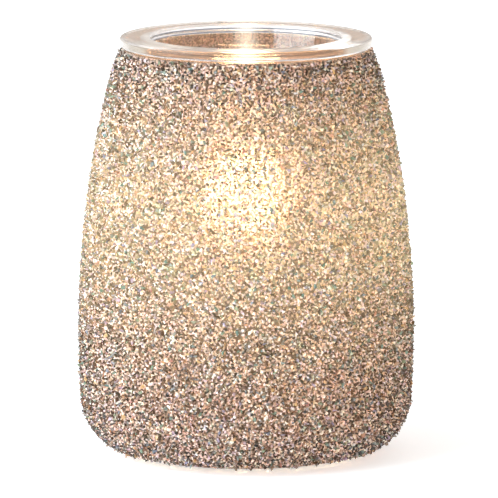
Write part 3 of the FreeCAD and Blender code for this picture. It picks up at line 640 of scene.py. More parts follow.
@dataclass(frozen=True)
class LampGlow:
    """The lamp's light painted onto the coating as a glow by height, with a painted shadow of the
    dish near the top.
    """

    height: float = 110.0 * MM
    reach: float = 92.0 * MM
    core: Colour = (1.0, 0.81, 0.45)
    skirt: Colour = (1.0, 0.63, 0.33)
    # painted shadow that the dish's well casts on the coating: where it starts and ends, and the
    # share of light left at the top
    dish_shadow_start: float = 158.0 * MM
    dish_shadow_stop: float = 174.0 * MM
    shaded: float = 0.68
    # an even painted glow added everywhere, which lifts the painted shade at the foot
    scattered: float = 0.08
    skirt_strength: float = 0.3

    def light(self, paint: Paint) -> tuple[Wire, Wire]:
        """Light of the lamp, painted at each height, with the dish's painted shadow near the top.

        Args:
            paint: the material that needs it.

        Returns:
            Its strength, about 1 beside the lamp, and its colour.
        """
        height = paint.axes()[2]
        drop = height - self.height
        spread = (drop * drop + self.reach ** 2) ** -0.5 * self.reach
        # painted light: the lamp's glow falls off above and below the lamp, plus the even painted
        # glow
        strength = spread * spread * spread + self.scattered
        # painted shadow of the dish's well on the top of the coating
        dish_shadow = height.ramped(self.dish_shadow_start, self.dish_shadow_stop, 1.0, self.shaded)
        colour = paint.blend(strength.ramped(self.skirt_strength, 1.0), self.skirt, self.core)
        return strength * dish_shadow, colour


GLOW = LampGlow()


@dataclass(frozen=True)
class Iridescence:
    """Soft patches of pink, cream, lilac and green over the crushed glass."""

    scale: float = 150.0
    stops: tuple[tuple[float, Colour], ...] = (
        (0.30, (0.82, 0.88, 0.98)), (0.38, (1.0, 0.95, 0.82)), (0.46, (0.98, 0.82, 0.84)),
        (0.54, (1.0, 0.95, 0.80)), (0.60, (0.92, 0.84, 0.99)), (0.68, (0.86, 0.98, 0.87)))

    def over(self, paint: Paint, colour: Wire) -> Wire:
        """COLOUR with the patches laid over it."""
        patches = paint.ramp(paint.noise(self.scale, 2.0, 0.6), self.stops)
        return paint.blend(1.0, colour, patches, "MULTIPLY")


SHEEN = Iridescence()


@dataclass(frozen=True)
class WarmRim:
    """Light that the dish's walls and thick rim take from the shade and the lamp under them,
    painted on: warm tints for the lit shade seen through them, a paler tint at the rim's side, a
    painted glow, a painted glare of the lamp and painted dark refraction lines.
    """

    # tints painted for the warm light of the lit shade seen through the glass, and a paler one at
    # the rim's side
    body_painted_warmth: Colour = (0.88, 0.81, 0.77)
    top_painted_warmth: Colour = (0.66, 0.56, 0.48)
    side_tint: Colour = (0.96, 0.93, 0.93)
    side_haze: float = 0.22
    # faint painted glow of the lamp in the thick glass
    light: Colour = (0.006, 0.004, 0.003)
    thick_start: float = 38.0 * MM
    thick_stop: float = 45.0 * MM
    top_start: float = 179.4 * MM
    top_stop: float = 180.2 * MM
    side_start: float = 52.6 * MM
    side_stop: float = 53.8 * MM
    well_stop: float = 42.0 * MM
    blur: float = 1.0 * MM
    # heights of two dark lines painted where the rim's edges refract shade into the well
    painted_refraction_lines: tuple[float, float] = (178.7 * MM, 177.2 * MM)
    refraction_line_half: float = 0.5 * MM
    refraction_line_shade: Colour = (0.10, 0.10, 0.12)
    # painted glare of the lamp on the well's walls
    glare: Colour = (1.0, 0.93, 0.76)
    glare_width: float = 10.0 * MM
    glare_well: float = 0.5
    glare_rim: float = 0.006

    def over(self, paint: Paint, tint: Wire, glow: Wire,
             roughness: float) -> tuple[Wire, Wire, Wire]:
        """Paint the light of the shade and the lamp onto plain glass for a dish.

        Args:
            paint: the material.
            tint: tint of the plain glass.
            glow: its glow.
            roughness: its roughness.

        Returns:
            The tint, with the painted warm light and the painted dark refraction lines; the glow,
            with the painted glare of the lamp; the roughness.
        """
        x, y, height = paint.axes()
        radius = (x * x + y * y) ** 0.5
        thick = radius.ramped(self.thick_start, self.thick_stop)
        top = height.ramped(self.top_start, self.top_stop) * thick
        side = radius.ramped(self.side_start, self.side_stop)
        # painted light: warm tints in the thick wall and on the rim's top, and a paler tint at its
        # side
        for share, colour in ((thick, self.body_painted_warmth), (top, self.top_painted_warmth),
                              (side, self.side_tint)):
            tint = paint.blend(share, tint, colour)
        inner = radius.ramped(self.well_stop, self.well_stop + self.blur, 1.0, 0.0)
        # painted shade: dark lines where the rim's edges refract shade, seen through the well's
        # wall
        for level in self.painted_refraction_lines:
            away = ((height - level) ** 2.0) ** 0.5
            line = away.ramped(self.refraction_line_half / 2, self.refraction_line_half, 1.0, 0.0)
            tint = paint.blend(line * inner, tint, self.refraction_line_shade)
        # painted glow of the lamp in the thick glass, and a painted glare streak of the lamp on
        # the well's walls
        glow = paint.blend(thick, glow, self.light)
        glare_streak = ((x * x) ** 0.5).ramped(0.0, self.glare_width, 1.0, 0.0) ** 2.0
        caught = radius.ramped(self.well_stop, self.thick_stop, self.glare_well, self.glare_rim)
        walls = radius.ramped(self.thick_start - self.blur, self.thick_start)
        glow = paint.blend(glare_streak * walls, glow, paint.scaled(self.glare, caught))
        return tint, glow, radius.ramped(self.side_start, self.side_stop, roughness,
                                         self.side_haze)


@dataclass(frozen=True)
class ClearGlass:
    """Smooth pressed glass with a faint ripple and a few seeds; it can carry a painted glow of the
    lamp and the painted light of a dish's rim.
    """

    name: str
    tint: Colour = (0.985, 0.975, 0.96)
    roughness: float = 0.02
    ior: float = 1.47
    ripple: float = 0.02 * MM
    ripple_scale: float = 60.0
    seed_scale: float = 360.0
    seed_size: float = 0.12
    seed_share: float = 0.1
    seed_shade: float = 0.92
    lit: float = 0.0
    rim: Optional[WarmRim] = None

    def material(self) -> Material:
        """Write the material.

        Returns:
            The material.
        """
        paint = Paint(self.name)
        ripple = paint.noise(self.ripple_scale, 1.0)
        seeds = paint.cells(self.seed_scale).ramped(0.0, self.seed_size, 1.0, 0.0)
        tint = paint.blend(seeds * self.seed_share, self.tint,
                           tuple(self.seed_shade * part for part in self.tint))
        # painted glow of the lamp's light, lit times that of the coating
        strength, light = GLOW.light(paint)
        glow = paint.scaled(light, strength * self.lit)
        roughness: Value = self.roughness
        if self.rim:
            tint, glow, roughness = self.rim.over(paint, tint, glow, self.roughness)
        return paint.finish(Base_Color=tint, Roughness=roughness, IOR=self.ior,
                            Emission_Color=glow,
                            Transmission_Weight=1.0, Normal=paint.bump(ripple, self.ripple))


@dataclass(frozen=True)
class GlitterBed:
    """Fine bonded grit between the larger chips, with painted shade in the crevices between its
    grains and the lamp's light painted on it as a glow.
    """

    name: str = "glitter_bed"
    pale: Colour = (0.88, 0.72, 0.64)
    # colour of the painted shade in the crevices between the grains
    crevice_shade: Colour = (0.175, 0.108, 0.08)
    grain: float = 820.0
    crevice_shade_edges: Point = (0.3, 0.65)
    patches: float = 90.0
    patch_share: float = 0.25
    relief: float = 0.25 * MM
    gain: float = 0.285
    brightest: float = 1.25
    clarity: float = 0.6
    roughness: float = 0.5
    ior: float = 1.3

    def material(self) -> Material:
        """Write the material.

        Returns:
            The material.
        """
        paint = Paint(self.name)
        grain = paint.cells(self.grain)
        broad = paint.noise(self.patches, 3.0)
        # painted shade in the crevices between the grains, mixed with broad patches of random tone
        crevice_shade_and_tone = (grain.ramped(*self.crevice_shade_edges) * (1.0 - self.patch_share)
                + broad * self.patch_share)
        colour = SHEEN.over(paint, paint.blend(crevice_shade_and_tone, self.pale, self.crevice_shade))
        strength, light = GLOW.light(paint)
        # the lamp's light painted as a glow, weaker where the crevices are painted in shade
        glow = paint.scaled(light, strength * (self.brightest - crevice_shade_and_tone) * self.gain)
        return paint.finish(Base_Color=colour, Emission_Color=glow,
                            Roughness=self.roughness, IOR=self.ior,
                            Normal=paint.bump(grain, self.relief),
                            Transmission_Weight=self.clarity)


@dataclass(frozen=True)
class ChipGlass:
    """One kind of crushed glass: its colours, gloss, and its share of the lamp's light, painted on
    it as a glow.
    """

    name: str
    stops: tuple[tuple[float, Colour], ...]
    gain: float
    veil: float = 0.0
    roughness: float = 0.14
    alpha: float = 1.0
    focus: float = 1.0
    dimmest: float = 0.35
    # gain of the painted glints, chip by chip
    painted_glint_gain: float = 1.3
    grime: float = 0.2
    grime_scale: float = 900.0

    def material(self) -> Material:
        """Write the material; each chip's own tint attribute picks its colour, and its spark
        attribute its share of the painted glow and glints.

        Returns:
            The material.
        """
        paint = Paint(self.name)
        tint = paint.wire("ShaderNodeAttribute", "Fac", {"attribute_name": "tint"})
        spark = paint.wire("ShaderNodeAttribute", "Fac", {"attribute_name": "spark"})
        colour = SHEEN.over(paint, paint.ramp(tint, self.stops))
        strength, light = GLOW.light(paint)
        glow = paint.blend(1.0, paint.blend(self.veil, colour, WHITE), light, "MULTIPLY")
        # painted glints: each chip takes a random share of the painted glow
        share = spark * spark * self.painted_glint_gain + self.dimmest
        glow = paint.scaled(glow, strength ** self.focus * share * self.gain)
        grime = paint.noise(self.grime_scale, 1.0) * self.grime
        return paint.finish(Base_Color=colour, Emission_Color=glow,
                            Roughness=grime + self.roughness, Alpha=self.alpha)


@dataclass(frozen=True)
class Moulded:
    """Plastic, phenolic or rubber with the fine texture of its mould."""

    name: str
    colour: Colour
    roughness: float = 0.45
    grain: float = 900.0
    relief: float = 0.03 * MM
    mottle: float = 0.12
    patches: float = 14.0
    wear: float = 0.16

    def material(self) -> Material:
        """Write the material.

        Returns:
            The material.
        """
        paint = Paint(self.name)
        grain = paint.noise(self.grain, 3.0, 0.6)
        broad = paint.noise(self.grain / self.patches, 2.0)
        darker = tuple(part * (1 - 2 * self.mottle) for part in self.colour)
        colour = paint.blend(grain * 0.5 + broad * 0.5, darker,
                             tuple(min(1.0, part * (1 + self.mottle)) for part in self.colour))
        return paint.finish(Base_Color=colour, Normal=paint.bump(grain, self.relief),
                            Roughness=broad * self.wear + (self.roughness - self.wear / 2))


@dataclass(frozen=True)
class Metal:
    """Plated or drawn metal, lightly handled."""

    name: str
    colour: Colour
    roughness: float = 0.28
    stain: Colour = (0.30, 0.26, 0.22)
    stained: float = 0.18
    scale: float = 420.0
    patches: float = 7.0
    patch_edge: Point = (0.5, 0.75)
    relief: float = 0.008 * MM
    wear: float = 0.24

    def material(self) -> Material:
        """Write the material.

        Returns:
            The material.
        """
        paint = Paint(self.name)
        fine = paint.noise(self.scale, 4.0, 0.65)
        broad = paint.noise(self.scale / self.patches, 2.0)
        patches = broad.ramped(*self.patch_edge) * self.stained
        colour = paint.blend(patches, self.colour, self.stain)
        return paint.finish(Base_Color=colour, Metallic=1.0 - patches * 0.5,
                            Roughness=fine * self.wear + (self.roughness - self.wear / 2),
                            Normal=paint.bump(fine, self.relief))


@dataclass(frozen=True)
class LitGlass:
    """Softly frosted lamp glass with the lit filament's light in it."""

    name: str = "lamp_glass"
    tint: Colour = (1.0, 0.95, 0.86)
    frosted: Colour = (0.97, 0.90, 0.80)
    frost_scale: float = 260.0
    frost_glow: Point = (0.9, 0.2)
    light: Colour = (1.0, 0.80, 0.50)
    strength: float = 8.5
    neck: Point = (84 * MM, 104 * MM)
    roughness: float = 0.22
    ior: float = 1.3

    def material(self) -> Material:
        """Write the material.

        Returns:
            The material.
        """
        paint = Paint(self.name)
        globe = paint.axes()[2].ramped(*self.neck)
        frost = paint.noise(self.frost_scale, 2.0)
        even, frosty = self.frost_glow
        glow = paint.scaled(self.light, globe * (frost * frosty + even) * self.strength)
        return paint.finish(Base_Color=paint.blend(frost, self.tint, self.frosted),
                            Emission_Color=glow, IOR=self.ior,
                            Roughness=self.roughness, Transmission_Weight=1.0)


@dataclass(frozen=True)
class Glowing:
    """White-hot wire, banded by its turns."""

    name: str = "hot_tungsten"
    colour: Colour = (0.2, 0.17, 0.15)
    roughness: float = 0.4
    light: Colour = (1.0, 0.74, 0.38)
    strength: float = 30.0
    turns: float = 9000.0
    banding: float = 0.15

    def material(self) -> Material:
        """Write the material.

        Returns:
            The material.
        """
        paint = Paint(self.name)
        wave = (paint.axes()[0] * self.turns).sine() * self.banding
        return paint.finish(Base_Color=self.colour, Metallic=1.0, Roughness=self.roughness,
                            Emission_Color=paint.scaled(self.light, wave + (1 - self.banding)),
                            Emission_Strength=self.strength)


# ---- crushed glass

class GritTree(Graph):
    """Geometry tree that beds broken glass in a surface."""

    INPUTS = ("Geometry", "Spacing", "Density", "Seed", "Length", "Width", "Thickness", "Sunk",
              "Tilt", "Breakage", "Inlet Height", "Inlet Radius", "Glass")
    KINDS = {"Geometry": "Geometry", "Seed": "Int", "Glass": "Material"}
    # sides and top radius of each unbroken chip, and the spread of the chips' sizes
    CHIPS = ((3, 0.3), (4, 0.5), (5, 0.0), (4, 0.12), (3, 0.7))
    LENGTHS = (0.6, 1.35)
    WIDTHS = (0.6, 1.4)
    THICKNESSES = (0.55, 1.2)

    def __init__(self) -> None:
        """Build the tree."""
        tree = bpy.data.node_groups.new("Crushed glass", "GeometryNodeTree")
        super().__init__(tree)
        for name in self.INPUTS:
            tree.interface.new_socket(name=name, in_out="INPUT",
                                      socket_type="NodeSocket" + self.KINDS.get(name, "Float"))
        tree.interface.new_socket(name="Geometry", in_out="OUTPUT",
                                  socket_type="NodeSocketGeometry")
        self.group = self.add("NodeGroupInput")
        self.add("NodeGroupOutput", None, {"Geometry": self._chips(self._points())})

    def given(self, name: str) -> Wire:
        """One of the tree's inputs."""
        return Wire(self, self.group.outputs[name])

    def chance(self, low: Value, high: Value, draw: int) -> Wire:
        """Random number from LOW to HIGH, the DRAW-th of each point."""
        return self.wire("FunctionNodeRandomValue", 1, {"data_type": "FLOAT"},
                         {2: low, 3: high, "Seed": self.given("Seed") + draw})

    def swing(self, reach: Wire, draw: int) -> Wire:
        """Random number from -REACH to REACH, the DRAW-th of each point."""
        return self.chance(reach * -1.0, reach, draw)

    def vector(self, x: Value, y: Value, z: Value) -> Wire:
        """Vector of three values."""
        return self.wire("ShaderNodeCombineXYZ", 0, None, {0: x, 1: y, 2: z})

    def _points(self) -> Wire:
        """Scatter points evenly, clear of the inlet and sunk into the surface.

        Returns:
            The points.
        """
        spread = self.add("GeometryNodeDistributePointsOnFaces",
                          {"distribute_method": "POISSON"},
                          {"Mesh": self.given("Geometry"), "Distance Min": self.given("Spacing"),
                           "Density Max": self.given("Density"), "Seed": self.given("Seed")})
        self.facing = Wire(self, spread.outputs["Rotation"])
        x, y, z = self.split(self.wire("GeometryNodeInputPosition"))
        rise = z - self.given("Inlet Height")
        near = (x * x + rise * rise).below(self.given("Inlet Radius") ** 2.0)
        kept = self.wire("GeometryNodeDeleteGeometry", 0, {"domain": "POINT"},
                         {"Geometry": Wire(self, spread.outputs["Points"]),
                          "Selection": near * y.above(0.0)})
        down = self.scaled(Wire(self, spread.outputs["Normal"]), self.given("Sunk") * -1.0)
        return self.wire("GeometryNodeSetPosition", 0, None, {"Geometry": kept, "Offset": down})

    def _shapes(self) -> Wire:
        """Make the unbroken chips to pick from, each of a dozen faces or fewer.

        Returns:
            The chips, as instances.
        """
        shapes = [self.wire("GeometryNodeMeshCone", "Mesh", {"fill_type": "NGON"},
                            {"Vertices": sides, "Radius Top": top, "Radius Bottom": 1.0,
                             "Depth": 1.0})
                  for sides, top in self.CHIPS]
        single = [self.wire("GeometryNodeGeometryToInstance", 0, None, {0: shape})
                  for shape in shapes]
        return self.wire("GeometryNodeJoinGeometry", 0, None, {0: single})

    def _chips(self, points: Wire) -> Wire:
        """Put chips at the points, turned, sized, coloured and broken by chance.

        Args:
            points: the points.

        Returns:
            The chips, as one mesh.
        """
        tilt = self.given("Tilt")
        turn = self.vector(self.swing(tilt, 1), self.swing(tilt, 2),
                           self.chance(0.0, 2 * math.pi, 3))
        facing = self.wire("FunctionNodeRotateRotation", 0, {"rotation_space": "LOCAL"},
                           {0: self.facing,
                            1: self.wire("FunctionNodeEulerToRotation", 0, None, {0: turn})})
        length = self.given("Length") * self.chance(*self.LENGTHS, 4)
        size = self.vector(length, length * self.given("Width") * self.chance(*self.WIDTHS, 5),
                           self.given("Thickness") * self.chance(*self.THICKNESSES, 6))
        grown = self.wire("GeometryNodeInstanceOnPoints", 0, None, {
            "Points": points, "Instance": self._shapes(), "Pick Instance": True,
            "Rotation": facing, "Scale": size})
        # each chip's random tint, and its random share of painted glints
        for draw, name in ((7, "tint"), (8, "spark")):
            grown = self.wire("GeometryNodeStoreNamedAttribute", 0,
                              {"domain": "INSTANCE", "data_type": "FLOAT"},
                              {"Geometry": grown, "Name": name,
                               "Value": self.chance(0.0, 1.0, draw)})
        solid = self.wire("GeometryNodeRealizeInstances", 0, None, {0: grown})
        reach = self.given("Breakage")
        shift = self.vector(*(self.swing(reach, draw) for draw in (9, 10, 11)))
        broken = self.wire("GeometryNodeSetPosition", 0, None,
                           {"Geometry": solid, "Offset": shift})
        return self.wire("GeometryNodeSetMaterial", 0, None,
                         {"Geometry": broken, "Material": self.given("Glass")})


class Grit(Enum):
    """Kinds of crushed glass in the coating."""

    PALE = "pale_grit"
    # dark glass chips, which are partly painted shade between the pale chips
    DARK = "dark_grit"
    SPUR = "proud_grit"
    FLECK = "colour_flecks"


@dataclass(frozen=True)
class GritLayer:
    """How one kind of crushed glass is scattered."""

    kind: Grit
    glass: ChipGlass
    spacing: float
    length: float
    width: float
    thickness: float
    sunk: float
    tilt: float
    breakage: float
    bands: int
    seed: int


PALE_CHIPS = ChipGlass("pale_chips", (
    (0.0, (0.84, 0.67, 0.61)), (0.22, (0.96, 0.85, 0.80)), (0.45, (0.93, 0.76, 0.71)),
    (0.62, (1.0, 0.95, 0.91)), (0.8, (0.97, 0.89, 0.74)), (1.0, (1.0, 0.99, 0.97))),
    0.40, roughness=0.36, alpha=0.9)
# dark glass chips whose near-black colours also stand in for painted shade and dark reflections
# between the pale chips
DARK_AND_SHADE_CHIPS = ChipGlass("dark_chips", (
    (0.0, (0.04, 0.022, 0.014)), (0.3, (0.11, 0.06, 0.035)), (0.5, (0.045, 0.048, 0.036)),
    (0.7, (0.19, 0.10, 0.055)), (0.85, (0.07, 0.065, 0.065)), (1.0, (0.02, 0.016, 0.014))),
    0.75, veil=0.5, roughness=0.14, focus=4.0)
SPUR_CHIPS = ChipGlass("spur_chips", (
    (0.0, (0.16, 0.20, 0.20)), (0.3, (0.50, 0.42, 0.36)), (0.5, (0.12, 0.10, 0.08)),
    (0.75, (0.62, 0.50, 0.44)), (1.0, (0.22, 0.26, 0.27))),
    0.5, veil=0.4, roughness=0.12, focus=2.0)
FLECK_CHIPS = ChipGlass("fleck_chips", (
    (0.0, (0.10, 0.20, 0.19)), (0.2, (0.22, 0.30, 0.22)), (0.4, (0.16, 0.19, 0.25)),
    (0.6, (0.42, 0.34, 0.44)), (0.8, (0.55, 0.40, 0.20)), (1.0, (0.40, 0.20, 0.18))),
    0.5, veil=0.2, roughness=0.1)


# the shade's glass carries a faint painted glow of the lamp; the dish's glass the painted light of
# WarmRim
SHADE_GLASS = ClearGlass("shade_glass", (0.97, 0.90, 0.86), lit=0.03)
DISH_GLASS = ClearGlass("dish_glass", (0.98, 0.95, 0.93), rim=WarmRim())


# ---- the sub-assemblies

@dataclass
class WaxDish:
    """Clear dish: a thick flat rim and a tapered well for the wax."""

    rim_radius: float = 54.0 * MM
    rim_thickness: float = 4.4 * MM
    rim_rounding: float = 1.2 * MM
    well_radius: float = 41.2 * MM
    floor_radius: float = 37.6 * MM
    well_rounding: float = 6.0 * MM
    wall: float = 4.0 * MM
    foot_draft: float = 0.4 * MM
    foot_ease: float = 2.0 * MM
    sides: int = 256
    crease: float = 50.0

    def build(self) -> list[Object]:
        """Make and dress the dish.

        Returns:
            It, in a list.
        """
        low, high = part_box("wax_dish")
        rim_under = high.z - self.rim_thickness
        floor = low.z + self.wall
        outline = filleted([
            (0.0, low.z, 0.0),
            (self.floor_radius + self.wall - self.foot_draft, low.z,
             self.well_rounding + self.foot_ease),
            (self.well_radius + self.wall, rim_under, 0.0),
            (self.rim_radius, rim_under, self.rim_rounding),
            (self.rim_radius, high.z, self.rim_rounding),
            (self.well_radius, high.z, self.rim_rounding),
            (self.floor_radius, floor, self.well_rounding),
            (0.0, floor, 0.0)])
        dish = lathe("clear_dish", outline, DISH_GLASS.material(), self.sides, closed=False,
                     crease=self.crease)
        return [placed(dish, "dish", "clear_glass", "wax_dish")]


@dataclass
class CrystalShade:
    """Glass barrel with its skin of crushed glass, and the cord's rubber bush."""

    shape: ShadeShape = SHADE
    bond: float = 0.03 * MM
    bed: float = 0.35 * MM
    crowding: float = 6.0
    rim_steps: int = 6
    inlet_height: float = 34.0 * MM
    inlet_radius: float = 5.5 * MM
    coat_gap: float = 8.4 * MM
    seat_gap: float = 0.05 * MM
    low_margin: float = 2.0 * MM
    high_margin: float = 0.8 * MM
    layers: tuple[GritLayer, ...] = (
        GritLayer(Grit.PALE, PALE_CHIPS, 1.4 * MM, 1.08 * MM, 0.68, 1.0 * MM, 0.28 * MM, 0.5,
                  0.22 * MM, 3, 11),
        GritLayer(Grit.DARK, DARK_AND_SHADE_CHIPS, 1.4 * MM, 1.1 * MM, 0.40, 1.35 * MM, 0.02 * MM, 0.75,
                  0.18 * MM, 2, 23),
        GritLayer(Grit.SPUR, SPUR_CHIPS, 3.9 * MM, 0.75 * MM, 0.75, 1.9 * MM, -0.1 * MM, 0.9,
                  0.2 * MM, 1, 53),
        GritLayer(Grit.FLECK, FLECK_CHIPS, 3.2 * MM, 1.1 * MM, 0.5, 1.7 * MM, 0.05 * MM, 0.9,
                  0.16 * MM, 1, 37))

    def glass(self) -> Object:
        """Make the bare barrel, with its inturned lip and punt.

        Returns:
            The barrel.
        """
        shape = self.shape
        top = shape.top - self.seat_gap
        floor_r = shape.corner(shape.wall_arc, shape.corner_arc, shape.foot)[0][0]
        outside = shape.side(0.0, shape.corner_arc, shape.foot, None, top - shape.rim_rounding)
        inside = shape.side(shape.wall, shape.inner_corner_arc, shape.lip_over, None,
                            top - shape.rim_rounding)
        out_r, in_r = outside[-1][0], inside[-1][0]
        rounding = shape.rim_rounding
        turn = math.pi / 2
        height, steps = top - rounding, self.rim_steps
        rim = (Arc((out_r - rounding, height), rounding, 0.0, turn).points(steps)
               + Arc((in_r + rounding, height), rounding, turn, math.pi).points(steps))
        outline = ([(shape.lip_radius, shape.lip_under), (shape.punt_radius, shape.lip_under),
                    (floor_r - shape.foot_land, shape.foot)]
                   + outside + rim + inside[::-1] + [(shape.lip_radius, shape.lip_over)])
        barrel = lathe("shade_barrel", outline, SHADE_GLASS.material())
        punched(barrel, self.inlet_height, self.inlet_radius)
        return placed(barrel, "warmer", "shade_glass", "glass_shade")

    def glitter(self) -> Object:
        """Make the bed of fine grit, a thin closed skin.

        Returns:
            The bed.
        """
        outline = self.shape.coat(self.bed) + self.shape.coat(self.bond)[::-1]
        skin = lathe("glitter_bed", outline, GlitterBed().material())
        punched(skin, self.inlet_height, self.coat_gap)
        return placed(skin, "warmer", "crushed_glass", "crystal_coating")

    def grit(self) -> list[Object]:
        """Scatter the chips, kind by kind and band by band.

        Returns:
            A piece for each band.
        """
        tree = GritTree().tree
        shape = self.shape
        start, stop = shape.coat_start + self.low_margin, shape.coat_stop - self.high_margin
        pieces = []
        for layer in self.layers:
            glass = layer.glass.material()
            for band in range(layer.bands):
                low = start + (stop - start) * band / layer.bands
                high = start + (stop - start) * (band + 1) / layer.bands
                inputs = {name: getattr(layer, name.lower()) for name in (
                    "Spacing", "Length", "Width", "Thickness", "Sunk", "Tilt", "Breakage")}
                piece = from_nodes(f"{layer.kind.value}_{band + 1}", self._band(low, high), tree, {
                    **inputs, "Density": self.crowding / layer.spacing ** 2,
                    "Seed": layer.seed + band, "Inlet Height": self.inlet_height,
                    "Inlet Radius": self.coat_gap + layer.length, "Glass": glass})
                pieces.append(placed(piece, "warmer", "crushed_glass", "crystal_coating"))
        return pieces

    def _band(self, low: float, high: float) -> Mesh:
        """Part of the coating's skin, as an open mesh.

        Args:
            low: height of its lower edge.
            high: height of its upper edge.

        Returns:
            The mesh.
        """
        points = self.shape.coat(self.bed)
        inner = [point for point in points if low < point[1] < high]
        ends = [(radius_at(points, height), height) for height in (low, high)]
        ring = lathe("band", [ends[0], *inner, ends[1]], closed=False)
        mesh = ring.data
        bpy.data.objects.remove(ring)
        return mesh

    def build(self) -> list[Object]:
        """Make and dress the shade.

        Returns:
            Its pieces.
        """
        bush = smooth_copy("cord_grommet", "cord_bush", "warmer", "black_rubber",
                           Moulded("bush_rubber", (0.03, 0.03, 0.032), 0.6).material())
        return [self.glass(), self.glitter(), *self.grit(), bush]


def radius_at(points: Sequence[Point], height: float) -> float:
    """Radius of an outline at one height.

    Args:
        points: the outline, from bottom to top.
        height: the height.

    Returns:
        The radius there, or at the nearer end.
    """
    for (r0, z0), (r1, z1) in zip(points, points[1:]):
        if z0 <= height <= z1:
            return r0 + (r1 - r0) * (height - z0) / max(z1 - z0, LEVEL)
    return points[-1][0] if height > points[-1][1] else points[0][0]


@dataclass
class Lamp:
    """Candelabra lamp: a lit pear-shaped glass on a brass screw cap."""

    globe_radius: float = 18.0 * MM
    globe_height: float = 113.0 * MM
    neck_radius: float = 5.6 * MM
    neck_arc: float = 30.0 * MM
    neck_seal: float = 78.2 * MM
    wall: float = 0.7 * MM
    seal: float = 0.6 * MM
    sides: int = 128
    steps: tuple[int, int] = (10, 40)

    def _skin(self, inset: float, seal: float) -> list[Point]:
        """Outline of the glass, from the neck's foot to the crown.

        Args:
            inset: distance inside the outer surface.
            seal: height of the neck's foot.

        Returns:
            Points from bottom to top.
        """
        globe = self.globe_radius - inset
        flare = self.neck_arc + inset
        neck = self.neck_radius - inset
        reach = globe + flare
        across = neck + flare
        drop = math.sqrt(reach ** 2 - across ** 2)
        meet = math.atan2(-drop, across)
        flare_arc = Arc((across, self.globe_height - drop), flare, math.pi, math.pi + meet)
        globe_arc = Arc((0.0, self.globe_height), globe, meet, math.pi / 2)
        flare_steps, globe_steps = self.steps
        return [(neck, seal)] + flare_arc.points(flare_steps) + (
            globe_arc.points(globe_steps)[1:-1]) + [(0.0, self.globe_height + globe)]

    def build(self) -> list[Object]:
        """Make and dress the lamp.

        Returns:
            Its pieces.
        """
        outside = self._skin(0.0, self.neck_seal)
        inside = self._skin(self.wall, self.neck_seal + self.seal)
        globe = lathe("lamp_globe", outside + inside[::-1], LitGlass().material(), self.sides,
                      closed=False)
        pieces = [placed(globe, "lamp", "lamp_glass", "bulb_glass")]
        brass = Metal("cap_brass", (0.80, 0.58, 0.28), 0.26).material()
        nickel = Metal("lead_nickel", (0.62, 0.60, 0.57), 0.3).material()
        solder = Metal("tip_solder", (0.60, 0.60, 0.62), 0.42).material()
        black = Moulded("cap_black_glass", (0.02, 0.02, 0.025), 0.15, relief=0.0).material()
        hot = Glowing().material()
        clear = ClearGlass("stem_glass").material()
        for node, name, slot, material in (
                ("bulb_stem", "lamp_stem", "lamp_glass", clear),
                ("bulb_lead_left", "lamp_lead_left", "nickel_wire", nickel),
                ("bulb_lead_right", "lamp_lead_right", "nickel_wire", nickel),
                ("bulb_filament", "lamp_filament", "tungsten", hot),
                ("bulb_cap_shell", "lamp_cap", "brass", brass),
                ("bulb_cap_insulator", "lamp_cap_glass", "black_glass", black)):
            pieces.append(smooth_copy(node, name, "lamp", slot, material))
        pieces.append(smooth_copy("bulb_tip_contact", "lamp_tip_solder", "lamp_tip", "solder",
                                  solder))
        return pieces


class Plain(Enum):
    """Record slots and finishes of the CAD nodes that keep their own meshes."""

    COVER = ("black_plastic", Moulded("cover_plastic", (0.05, 0.05, 0.055), 0.5))
    GASKET = ("silicone", Moulded("gasket_silicone", (0.72, 0.72, 0.70), 0.62))
    FOOT = ("black_rubber", Moulded("foot_rubber", (0.035, 0.035, 0.037), 0.7,
                                    relief=0.05 * MM))
    PHENOLIC = ("phenolic", Moulded("socket_phenolic", (0.05, 0.035, 0.028), 0.3))
    STAND = ("white_plastic", Moulded("stand_plastic", (0.78, 0.76, 0.72), 0.42))
    STEEL = ("zinc_steel", Metal("zinc_steel", (0.62, 0.63, 0.64), 0.34))
    BRASS = ("brass", Metal("contact_brass", (0.78, 0.57, 0.29), 0.3))


FITTINGS: tuple[tuple[str, Plain], ...] = (
    ("base_cover", Plain.COVER), ("lower_gasket", Plain.GASKET),
    ("upper_gasket", Plain.GASKET), ("lamp_plate", Plain.STEEL),
    *((f"rubber_foot_{number}", Plain.FOOT) for number in range(1, 5)),
    ("clamp_screws", Plain.STEEL), ("clamp_nuts", Plain.STEEL),
    ("socket_stand", Plain.STAND), ("stand_screws", Plain.STEEL),
    ("socket_body", Plain.PHENOLIC), ("socket_side_screws", Plain.STEEL),
    ("socket_screw_shell", Plain.BRASS), ("socket_centre_contact", Plain.BRASS),
    ("line_terminal", Plain.BRASS), ("neutral_terminal", Plain.BRASS),
    ("terminal_screws", Plain.STEEL), ("contact_rivets", Plain.BRASS))


@dataclass
class BaseAndStand:
    """Base stack, lamp stand and socket, on their smooth-shaded CAD shapes."""

    fittings: tuple[tuple[str, Plain], ...] = FITTINGS
    made: dict[Plain, Material] = field(default_factory=dict)

    def build(self) -> list[Object]:
        """Dress each fitting.

        Returns:
            The pieces.
        """
        pieces = []
        for node, finish in self.fittings:
            slot, look = finish.value
            if finish not in self.made:
                self.made[finish] = look.material()
            pieces.append(smooth_copy(node, node + "_dressed", "warmer", slot,
                                      self.made[finish]))
        return pieces


# ---- the studio

